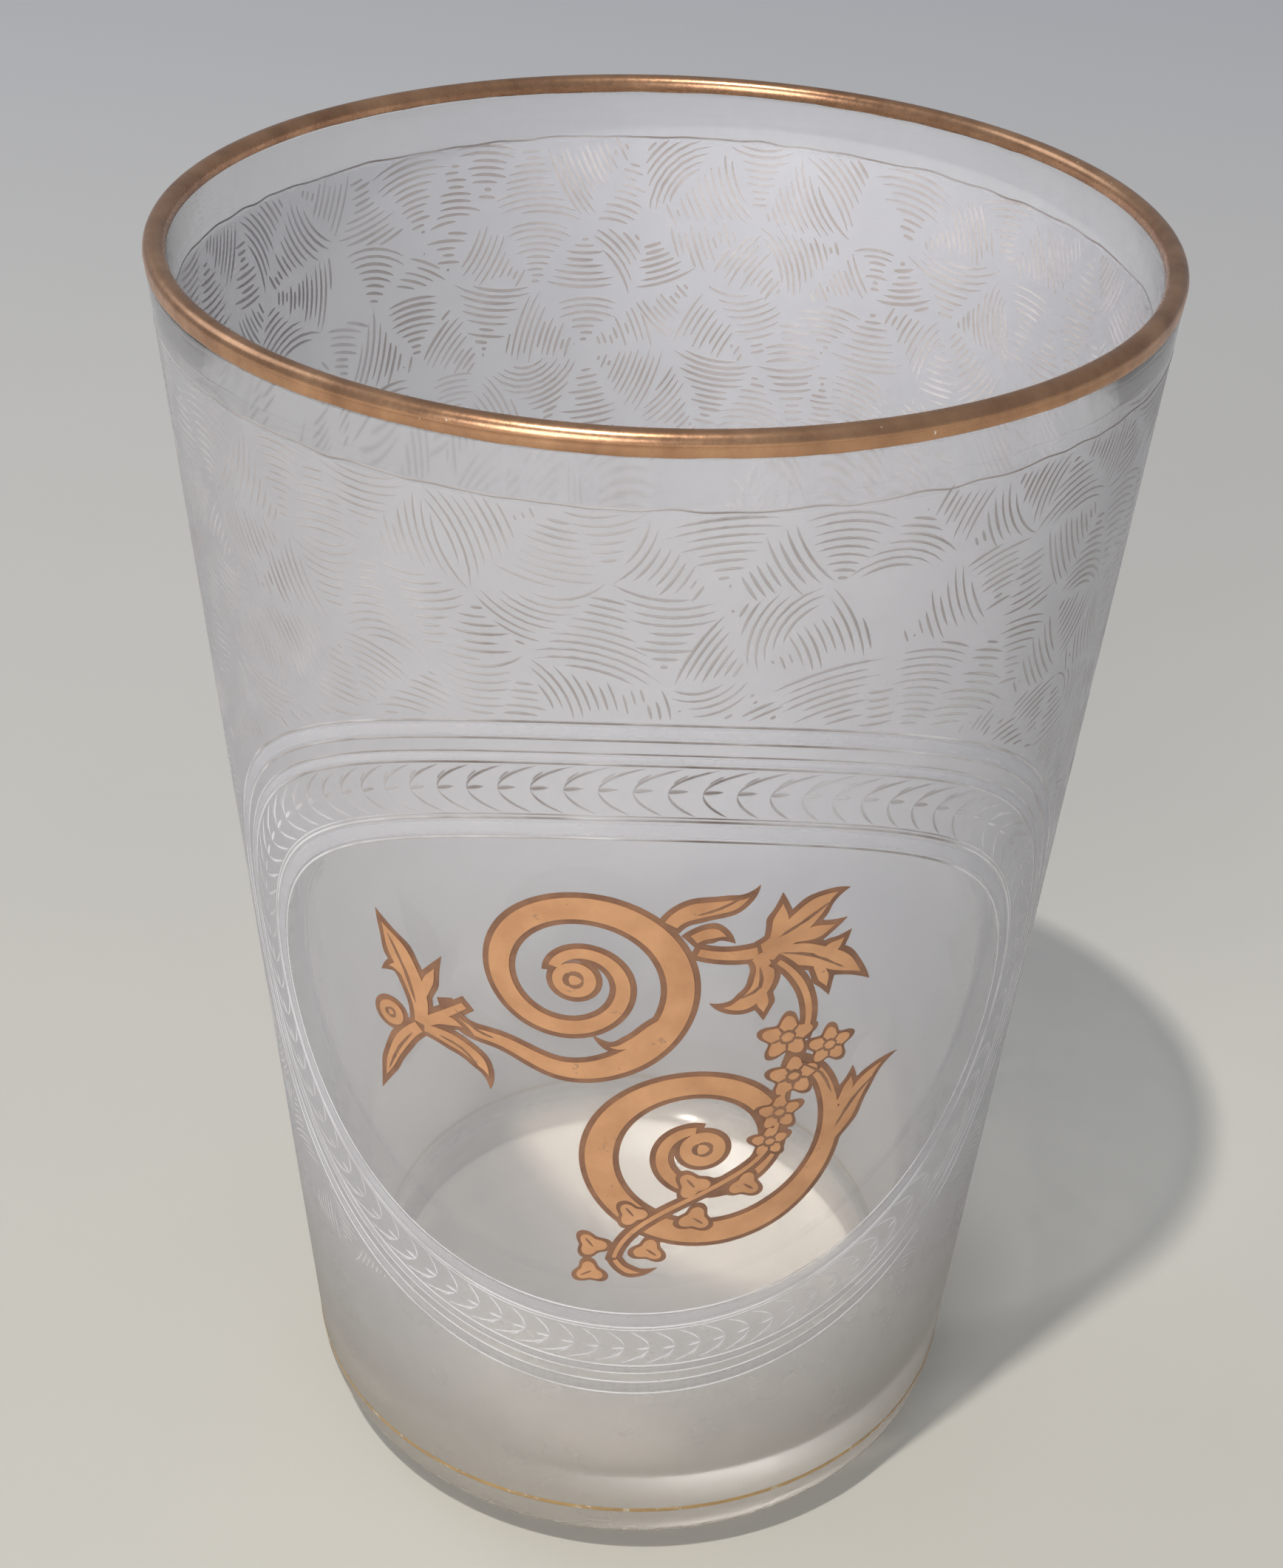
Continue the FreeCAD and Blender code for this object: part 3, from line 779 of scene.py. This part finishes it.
# %% [markdown]
# ### Copies that follow a line
# Thousands of separate objects would be slow, so the copies of one pattern go into one mesh. Each copy
# is bent along a flat line first, and then rolled round the glass with it.


# %% Bending copies of the stroke along lines
def stamp(name, model, places):
    """Copy a small model many times into one mesh; each place sends a model point to its spot."""
    corners = [tuple(point.co) for point in model.data.vertices]
    loops = [tuple(face.vertices) for face in model.data.polygons]
    points, faces = [], []
    for place in places:
        first = len(points)
        points.extend(place(*corner) for corner in corners)
        faces.extend(tuple(first + number for number in loop) for loop in loops)
    mesh = bpy.data.meshes.new(name)
    mesh.from_pydata(points, [], faces)
    mesh.update()
    piece = bpy.data.objects.new(name, mesh)
    bpy.context.scene.collection.objects.link(piece)
    return piece


def bend(line, width, rise, roll, lift=0.0):
    """Where the stroke's points go when it follows a flat line given for shares 0 to 1."""
    def place(along, across, up):
        share = along + 0.5
        here = line(share)
        ahead, behind = line(min(1.0, share + 0.02)), line(max(0.0, share - 0.02))
        run = math.hypot(ahead[0] - behind[0], ahead[1] - behind[1]) or 1.0
        tangent = ((ahead[0] - behind[0]) / run, (ahead[1] - behind[1]) / run)
        flat = (here[0] - tangent[1] * across * width, here[1] + tangent[0] * across * width)
        return roll(flat[0], flat[1], lift + up * rise)
    return place


def through(points):
    """A smooth flat line through a few points, for shares 0 to 1."""
    ends = [points[0]] + list(points) + [points[-1]]

    def line(share):
        place = share * (len(points) - 1)
        low = min(int(place), len(points) - 2)
        t = place - low
        a, b, c, d = ends[low:low + 4]
        return tuple(0.5 * (2 * b[i] + (c[i] - a[i]) * t + (2 * a[i] - 5 * b[i] + 4 * c[i] - d[i]) * t * t
                            + (3 * b[i] - a[i] - 3 * c[i] + d[i]) * t ** 3) for i in (0, 1))
    return line


def millimetres(points):
    return [(across * MM, up * MM) for across, up in points]


print("half way along a test line:", through([(0, 0), (1, 2), (2, 0)])(0.5))

# %% [markdown]
# ## The medallion's lines
# The oval is drawn flat. A ring of points the size of the oval is carried over a low ridge, closed on
# itself underneath, leaned over, and rolled round the glass. Strong lines are wide ridges, thin ones
# are narrow, and between some of them lies a broad frosted stripe.


# %% A ridge round the oval
def roll_piece(piece, roll):
    """Send every point of a flat drawing to its place on the glass."""
    for point in piece.data.vertices:
        point.co = roll(point.co.x, point.co.y, point.co.z)
    piece.data.update()


def oval_ridge(name, offset, width, rise):
    sink = 0.01 * MM
    wide, tall = OVAL_WIDE + offset, OVAL_TALL + offset
    steps = [(-0.5, -sink), (-0.3, rise * 0.8), (0.0, rise), (0.3, rise * 0.8), (0.5, -sink)]
    rings = [(wide + width * side, tall + width * side, height) for side, height in steps]
    piece = throw(name, rings, 240, closed=True)
    piece.rotation_euler = (0, 0, OVAL_LEAN)
    piece.location = (0, OVAL_HEIGHT, 0)
    bpy.ops.object.transform_apply(location=True, rotation=True, scale=True)
    roll_piece(piece, sleeve)
    return piece


def join_pieces(name, parts):
    only(parts[0])
    for part in parts:
        part.select_set(True)
    bpy.ops.object.join()
    parts[0].name = parts[0].data.name = name
    return parts[0]


print("ridges follow an oval", round(OVAL_WIDE / OVAL_TALL, 2), "times as wide as tall")

# %% Lines and stripes of the medallion
# Each line is (distance out from the oval, width, height), each stripe (distance out, width), in mm.
LINES = [
    (0.0, 0.12, 0.020), (1.1, 0.14, 0.024), (1.3, 0.09, 0.016), (4.1, 0.13, 0.022), (4.7, 0.10, 0.016),
    (5.4, 0.13, 0.022), (6.3, 0.14, 0.022),
]
STRIPES = [(0.55, 0.75), (4.4, 0.4), (5.85, 0.65)]
lines = [oval_ridge(f"line_{number}", offset * MM, width * MM, rise * MM)
         for number, (offset, width, rise) in enumerate(LINES)]
medallion_lines = join_pieces("medallion_lines", lines)
smooth(medallion_lines, 60)
finish_piece(medallion_lines, MEDALLION_CUT)

stripes = [oval_ridge(f"stripe_{number}", offset * MM, width * MM, 0.012 * MM)
           for number, (offset, width) in enumerate(STRIPES)]
medallion_stripes = join_pieces("medallion_stripes", stripes)
smooth(medallion_stripes, 60)
finish_piece(medallion_stripes, MILKY_STRIPE)


# %% [markdown]
# ## The chevron border
# Between two of the lines runs a border of chevrons, like a laurel. Every chevron is two long strokes
# that start together on the border's middle and curve back to its edges, with two short ones inside.
# They are spaced evenly by length along the oval, so the oval is first measured with a fine chain of
# points.


# %% Walking evenly round the oval
def oval_flat(turn, offset):
    """A point on the oval grown by offset, turn in radians."""
    side = (OVAL_WIDE + offset) * math.cos(turn)
    rise = (OVAL_TALL + offset) * math.sin(turn)
    return (side * math.cos(OVAL_LEAN) - rise * math.sin(OVAL_LEAN),
            OVAL_HEIGHT + side * math.sin(OVAL_LEAN) + rise * math.cos(OVAL_LEAN))


def even_turns(offset, pitch):
    """Turns that are one pitch apart along the oval, as near as a whole number allows."""
    chain = [oval_flat(2 * math.pi * step / 1440, offset) for step in range(1441)]
    lengths = [0.0]
    for a, b in zip(chain, chain[1:]):
        lengths.append(lengths[-1] + math.dist(a, b))
    count = round(lengths[-1] / pitch)
    turns, step = [], 0
    for number in range(count):
        goal = lengths[-1] * number / count
        while lengths[step + 1] < goal:
            step += 1
        share = (goal - lengths[step]) / (lengths[step + 1] - lengths[step])
        turns.append(2 * math.pi * (step + share) / 1440)
    return turns


SPINE = 2.65 * MM
chevron_turns = even_turns(SPINE, 1.65 * MM)
print("chevrons round the border:", len(chevron_turns))


# %% Stamp the chevrons
def turn_length(turn):
    """How far along the border one radian of turn goes here."""
    a, b = oval_flat(turn - 0.01, SPINE), oval_flat(turn + 0.01, SPINE)
    return math.dist(a, b) / 0.02


def chevron_arm(turn, reach, back, start=0.0):
    """A line from the spine to one edge of the border that trails behind the tip."""
    def line(share):
        part = start + (1 - start) * share
        trail = back * (0.35 * part + 0.65 * part ** 2.0) / turn_length(turn)
        return oval_flat(turn - trail, SPINE + reach * part ** 0.8)
    return line


arms = []
for turn in chevron_turns:
    arms.append(bend(chevron_arm(turn, 1.32 * MM, 2.3 * MM), 0.14 * MM, 0.026 * MM, sleeve))
    arms.append(bend(chevron_arm(turn, -1.28 * MM, 1.5 * MM), 0.13 * MM, 0.024 * MM, sleeve))
    arms.append(bend(chevron_arm(turn, 0.12 * MM, 1.0 * MM), 0.20 * MM, 0.028 * MM, sleeve))
    arms.append(bend(chevron_arm(turn, 1.0 * MM, 0.9 * MM, 0.4), 0.09 * MM, 0.016 * MM, sleeve))
chevrons = stamp("chevron_border", stroke_model, arms)
smooth(chevrons, 50)
finish_piece(chevrons, MEDALLION_CUT)


# %% [markdown]
# ## Feathery etched patches
# All round the belt the acid was held back by a patchwork of small three-cornered blocks. Inside each
# block fine strokes lie side by side, bowed about a point beyond one corner, like the barbs of a
# feather. The blocks come from a lattice whose points are shaken a little, with a fixed seed so that
# the pattern is the same on every run. A stroke is kept only where it is inside its own block and
# outside the medallion.


# %% The lattice of blocks
COLUMNS, ROWS = 29, 14
BELT_LOW, BELT_HIGH = 9.0 * MM, 68.6 * MM
shake = random.Random(11)
lattice = {}
for row in range(ROWS + 1):
    for column in range(COLUMNS):
        step = 2 * math.pi * SLEEVE_RADIUS / COLUMNS
        across = (column + (0.5 if row % 2 else 0.0) + shake.uniform(-0.22, 0.22)) * step
        height = BELT_LOW + (BELT_HIGH - BELT_LOW) * row / ROWS
        if 0 < row < ROWS:
            height += shake.uniform(-1.0, 1.0) * MM
        lattice[row, column] = (across, height)


def lattice_point(row, column):
    """Columns go on round the glass; each full turn adds one length of the sleeve."""
    across, height = lattice[row, column % COLUMNS]
    return (across + (column // COLUMNS) * 2 * math.pi * SLEEVE_RADIUS, height)


blocks = []
for row in range(ROWS):
    shift = 1 if row % 2 else 0
    for column in range(COLUMNS):
        here, right = lattice_point(row, column), lattice_point(row, column + 1)
        above_left = lattice_point(row + 1, column - 1 + shift)
        above_right = lattice_point(row + 1, column + shift)
        blocks.append((here, right, above_right))
        blocks.append((above_right, above_left, here))
print("blocks:", len(blocks))


# %% Strokes inside a block
FEATHER_STEPS = 28
FEATHER_PITCH = (0.37 * MM, 0.43 * MM)
FEATHER_WIDTH = (0.11 * MM, 0.14 * MM)
SHORTEST_STROKE = 0.4 * MM


def inside(point, block):
    signs = []
    for a, b in zip(block, block[1:] + block[:1]):
        signs.append((b[0] - a[0]) * (point[1] - a[1]) - (b[1] - a[1]) * (point[0] - a[0]))
    return all(sign > 0 for sign in signs) or all(sign < 0 for sign in signs)


def wrapped(across):
    """The same place on the sleeve, counted from the back seam."""
    half = math.pi * SLEEVE_RADIUS
    return (across + half) % (2 * half) - half


def free_run(heart, reach, low, high, block):
    """The longest stretch of an arc that is inside the block and outside the medallion."""
    best, start = None, None
    steps = FEATHER_STEPS
    for step in range(steps + 1):
        turn = low + (high - low) * step / steps
        point = (heart[0] + reach * math.cos(turn), heart[1] + reach * math.sin(turn))
        free = inside(point, block) and oval_share(wrapped(point[0]), point[1], OVAL_BORDER) > 1.0
        if free and start is None:
            start = turn
        if start is not None and (not free or step == steps):
            stop = turn - (0 if free else (high - low) / steps)
            if best is None or stop - start > best[1] - best[0]:
                best = (start, stop)
            start = None
    return best


def arc_line(heart, reach, start, stop):
    def line(share):
        turn = start + (stop - start) * share
        return (heart[0] + reach * math.cos(turn), heart[1] + reach * math.sin(turn))
    return line


def feather(block, dice):
    """The strokes of one block: arcs about a point beyond one corner, or beyond the far side."""
    middle = tuple(sum(corner[i] for corner in block) / 3 for i in (0, 1))
    trimmed = [tuple(middle[i] + (corner[i] - middle[i]) * 1.01 for i in (0, 1)) for corner in block]
    number = dice.choice((0, 1, 2, 2, 2))
    tip = block[number]
    far = tuple((block[number - 1][i] + block[number - 2][i]) / 2 for i in (0, 1))
    length = math.dist(tip, far)
    axis = ((far[0] - tip[0]) / length, (far[1] - tip[1]) / length)
    back = dice.uniform(1.5, 7.0) * MM
    if dice.random() < 0.5:
        heart = (tip[0] - axis[0] * back, tip[1] - axis[1] * back)
        facing = math.atan2(axis[1], axis[0])
    else:
        heart = (far[0] + axis[0] * back, far[1] + axis[1] * back)
        facing = math.atan2(-axis[1], -axis[0])
    pitch = dice.uniform(*FEATHER_PITCH)
    width = dice.uniform(*FEATHER_WIDTH)
    reach = back + 0.35 * MM
    lines = []
    while reach < back + length:
        half = min(1.5, 7.0 * MM / reach)
        run = free_run(heart, reach, facing - half, facing + half, trimmed)
        if run and (run[1] - run[0]) * reach > SHORTEST_STROKE:
            stretch = dice.uniform(-0.05, 0.05)
            lines.append((arc_line(heart, reach, run[0] - stretch, run[1] + stretch),
                          width * dice.uniform(0.85, 1.15)))
        reach += pitch * dice.uniform(0.93, 1.07)
    return lines


print("strokes are", [round(value / MM, 2) for value in FEATHER_PITCH], "mm apart")


# %% Etch all the blocks
dice = random.Random(23)
back_strokes, front_strokes, low_strokes = [], [], []
for block in blocks:
    height = sum(corner[1] for corner in block) / 3
    angle = abs(wrapped(sum(corner[0] for corner in block) / 3)) / SLEEVE_RADIUS
    lowest = (16 + 14 * min(1.0, max(0.0, angle - 0.9))) * MM
    bare = 0.05 + 0.12 * max(0.0, lowest + 6 * MM - height) / MM
    if height < lowest or dice.random() < bare:
        continue
    store = low_strokes if height < 42 * MM else back_strokes if angle > 1.6 else front_strokes
    rise = dice.uniform(0.016, 0.026) * MM
    for line, width in feather(block, dice):
        store.append(bend(line, width, rise, sleeve))
print("strokes:", len(back_strokes), len(front_strokes), len(low_strokes))

for name, strokes, finish in (("back_feathers", back_strokes, BACK_STROKE),
                              ("front_feathers", front_strokes, FRONT_STROKE),
                              ("low_feathers", low_strokes, FRONT_STROKE)):
    finish_piece(stamp(name, stroke_model, strokes), finish)

# %% [markdown]
# ## The milky film
# Between the strokes the acid left a thin haze, and age and handling dull the rest. It is a film that
# hugs the outer skin from low on the heel to the gold, and it is turned like the glass.

# %% Turn the film
veil_steps = [4.6 + 5.54 * step for step in range(13)]


def film_line(rise):
    """The outline of the outer skin, from low on the heel up to the gold, standing off by rise."""
    heel = arc(heel_middle, HEEL + rise, -74, -LEAN, 10)
    return heel + [(wall_radius(h * MM) + rise, h * MM) for h in veil_steps]


veil_outline = film_line(0.009 * MM) + list(reversed(film_line(0.003 * MM)))
acid_veil = throw("acid_veil", turned(veil_outline), 200, closed=True)
smooth(acid_veil, 60)
finish_piece(acid_veil, MILKY_VEIL)

# %% [markdown]
# ## The belt's border line
# The etched belt ends at the top in one thin wavering line a few millimetres under the gold. It is a
# low ridge turned on the wall, and its points are then swayed along the cone.


# %% A thin line round the belt
def belt_line(name, height, width, sway):
    sink, rise = 0.01 * MM, 0.022 * MM
    steps = [(-0.5, -sink), (-0.2, rise), (0.2, rise), (0.5, -sink)]
    outline = [(wall_radius(height + width * up) + out, height + width * up) for up, out in steps]
    piece = throw(name, turned(outline), 480, closed=True)
    for point in piece.data.vertices:
        angle = math.atan2(point.co.x, -point.co.y)
        ripple = noise.noise(Vector((math.cos(angle) * 14, math.sin(angle) * 14, height / MM)))
        stand_off = math.hypot(point.co.x, point.co.y) - wall_radius(point.co.z)
        point.co = on_wall(angle, point.co.z + sway * ripple, stand_off)
    piece.data.update()
    return piece


belt_edge = belt_line("belt_edge", BELT_TOP, 0.10 * MM, 0.16 * MM)
smooth(belt_edge, 60)
finish_piece(belt_edge, FRONT_STROKE)

# %% [markdown]
# ## Scrolls and garland
# The brown ground and the gold films over it are right as they come from the CAD model, so they keep
# their shape and get painted finishes. What the brush added on top is modelled here: brown rings at
# the hearts of the scrolls, veins in the leaves, little stars in the flowers and slits in the buds.

# %% Painted finishes for the films
GILDING = ["upper_volute_gilding", "lower_volute_gilding", "left_spray_gilding", "right_spray_gilding",
           "garland_gilding"]
for name in GILDING + ["ornament_ground"]:
    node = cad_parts[name]
    for material_slot in node.material_slots:
        material_slot.material = BROWN_ENAMEL if name == "ornament_ground" else SCROLL_GOLD
    print(name, "->", node.material_slots[0].material.name)

# %% Where the brush went, in millimetres from the ornament's middle
VEINS = [
    [(-9.2, 2.9), (-8.0, 1.9), (-6.9, 1.6)],
    [(8.0, 0.5), (9.3, -0.6), (10.0, -2.2)],
    [(2.4, 10.4), (3.6, 10.8), (4.8, 11.5)],
    [(-11.3, 2.2), (-11.9, 4.2), (-13.0, 6.4)],
    [(-10.2, 0.8), (-8.8, 0.4), (-7.8, -0.6)],
    [(-11.5, 0.4), (-12.5, -1.2), (-13.3, -3.2)],
    [(6.4, 8.7), (7.8, 9.6), (9.0, 10.5)],
    [(6.4, 7.8), (8.2, 7.3), (10.2, 5.9)],
    [(5.6, 7.2), (5.7, 5.8), (4.6, 5.1)],
    [(10.3, -4.8), (11.3, -3.0), (12.6, -1.7)],
]
HEARTS = [(-3.1, 6.2, 0.42), (3.4, -4.6, 0.42), (-12.9, 1.0, 0.25)]
FLOWERS = [(7.3, 2.3, 1.65), (9.6, 1.2, 1.45), (7.8, -0.4, 1.6), (7.2, -2.7, 1.4), (6.8, -4.6, 1.25)]
BUDS = [
    (5.7, -7.4, 2.3), (3.0, -7.1, -0.6), (3.2, -9.5, 2.3), (0.0, -9.1, -0.6), (-2.0, -11.5, -0.6),
    (0.9, -11.7, 2.3), (-2.1, -13.5, -2.2),
]
print("veins", len(VEINS), "hearts", len(HEARTS), "flowers", len(FLOWERS), "buds", len(BUDS))


# %% Brush veins, heart rings, flower stars and bud slits
ON_GOLD = 0.055 * MM
BRUSH_RISE = 0.035 * MM


def ring_lines(across, up, radius, parts=2):
    """Overlapping arcs that together draw a ring."""
    heart = (across * MM, up * MM)
    span = 2 * math.pi / parts
    return [arc_line(heart, radius * MM, span * (part - 0.12), span * (part + 1.12)) for part in range(parts)]


brush = []
for vein in VEINS:
    brush.append(bend(through(millimetres(vein)), 0.24 * MM, BRUSH_RISE, ornament_place, ON_GOLD))
for across, up, radius in HEARTS:
    for line in ring_lines(across, up, radius, 3):
        brush.append(bend(line, 0.30 * MM, BRUSH_RISE, ornament_place, ON_GOLD))
for across, up, radius in FLOWERS:
    for line in ring_lines(across, up, radius * 0.24, 2):
        brush.append(bend(line, 0.24 * MM, BRUSH_RISE, ornament_place, ON_GOLD))
    for petal in range(5):
        turn = 2 * math.pi * (petal + 0.5) / 5
        spoke = [(across + radius * share * math.sin(turn), up + radius * share * math.cos(turn))
                 for share in (0.15, 0.35, 0.55)]
        brush.append(bend(through(millimetres(spoke)), 0.20 * MM, BRUSH_RISE, ornament_place, ON_GOLD))
for across, up, lean in BUDS:
    slit = [(across + share * math.sin(lean), up + share * math.cos(lean)) for share in (-0.2, 0.2, 0.6)]
    brush.append(bend(through(millimetres(slit)), 0.18 * MM, BRUSH_RISE, ornament_place, ON_GOLD))
brush_work = stamp("brush_work", stroke_model, brush)
smooth(brush_work, 50)
finish_piece(brush_work, BROWN_ENAMEL)
bpy.data.objects.remove(stroke_model)


# %% [markdown]
# ## Where it stands
# The glass stands on a plain pale cloth whose colour is painted cooler and darker with distance: painted
# light for the fall-off of the lamps. A large flat plane is enough for it, because all of its character is in
# the finish.


# %% The floor
def make_cloth():
    material, tree, shader = start_material("pale_cloth")
    near = place_group(tree, MOTTLE, (-900, 200), Light_colour=(0.71, 0.685, 0.615, 1),
                       Dark_colour=(0.675, 0.655, 0.595, 1), Scale=26.0, Contrast=0.3)
    where = add_node(tree, "ShaderNodeTexCoord", (-1100, 0))
    split = add_node(tree, "ShaderNodeSeparateXYZ", (-900, 0))
    tree.links.new(where.outputs["Object"], split.inputs[0])
    # Painted light: warmer and brighter near the glass, cooler and darker far off, where the lamps' light
    # falls off.
    painted_light_fade = ramp(tree, split.outputs[1], -0.03, 0.32)
    blend = mix_colours(tree, painted_light_fade, near.outputs["Color"], (0.58, 0.585, 0.615, 1))
    tree.links.new(blend, shader.inputs["Base Color"])
    shader.inputs["Roughness"].default_value = 0.9
    shader.inputs["Specular IOR Level"].default_value = 0.15
    return material


bpy.ops.mesh.primitive_plane_add(size=3.0, location=(0, 0.4, -0.00003))
cloth = bpy.context.object
cloth.name = "cloth"
cloth.data.materials.append(make_cloth())
bpy.ops.object.transform_apply(location=True, rotation=True, scale=True)
print("cloth width in metres:", round(cloth.dimensions.x, 2))

# %% [markdown]
# ## Light
# One small lamp high in front and to the left gives the soft-edged shadow. A broad cool panel fills from
# behind on the left, a broad one from low in front, and the sky is an even grey.


# %% Lamps
def aim(thing, target):
    thing.rotation_mode = "QUATERNION"
    thing.rotation_quaternion = (Vector(target) - thing.location).to_track_quat("-Z", "Y")


def add_lamp(name, place, target, side, power, colour):
    lamp = bpy.data.objects.new(name, bpy.data.lights.new(name, "AREA"))
    lamp.data.shape = "DISK"
    lamp.data.size = side
    lamp.data.energy = power
    lamp.data.color = colour
    lamp.location = place
    bpy.context.scene.collection.objects.link(lamp)
    aim(lamp, target)
    return lamp


KEY_WAY = Vector((-0.178, -0.310, 0.934)).normalized()
MIDDLE = (0, 0, 0.03)
add_lamp("key_lamp", KEY_WAY * 1.3, MIDDLE, 0.045, 7.6, (1.0, 0.955, 0.89))
add_lamp("side_panel", (-0.9, 0.5, 0.8), MIDDLE, 0.7, 1.6, (0.85, 0.92, 1.0))
add_lamp("front_panel", (-0.4, -1.0, 0.38), MIDDLE, 0.6, 5.2, (1.0, 0.98, 0.97))

# %% The sky
sky = bpy.data.worlds.new("grey_sky")
sky.use_nodes = True
sky.node_tree.nodes["Background"].inputs["Color"].default_value = (0.80, 0.86, 0.95, 1)
sky.node_tree.nodes["Background"].inputs["Strength"].default_value = 0.29
bpy.context.scene.world = sky
bpy.context.scene.view_settings.view_transform = "Standard"
print("sky:", sky.name, "seen through the", bpy.context.scene.view_settings.view_transform, "view")

# %% [markdown]
# ## The camera
# It looks down on the glass at about 32 degrees from the front, leaning slightly. It stands very close,
# so the foot looks a good deal narrower than the lip. A farther camera with a longer lens would flatten
# that taper.

# %% Place the camera
yaw, pitch, roll = -0.0026, 0.5574, 0.0339
forward = Vector((math.sin(yaw) * math.cos(pitch), math.cos(yaw) * math.cos(pitch), -math.sin(pitch)))
level = Vector((math.cos(yaw), -math.sin(yaw), 0))
upward = level.cross(forward)
right = math.cos(roll) * level + math.sin(roll) * upward
above = -math.sin(roll) * level + math.cos(roll) * upward
camera = bpy.data.objects.new("camera", bpy.data.cameras.new("camera"))
camera.data.lens = 57.7
camera.data.sensor_width = 36
camera.data.clip_start = 0.01
STAND = (0.0, -0.11722, 0.11330)
camera.matrix_world = Matrix((
    (right.x, above.x, -forward.x, STAND[0]),
    (right.y, above.y, -forward.y, STAND[1]),
    (right.z, above.z, -forward.z, STAND[2]),
    (0, 0, 0, 1),
))
bpy.context.scene.collection.objects.link(camera)
bpy.context.scene.camera = camera
print("camera stands", round(math.dist(STAND, MIDDLE) / MM), "mm from the glass")
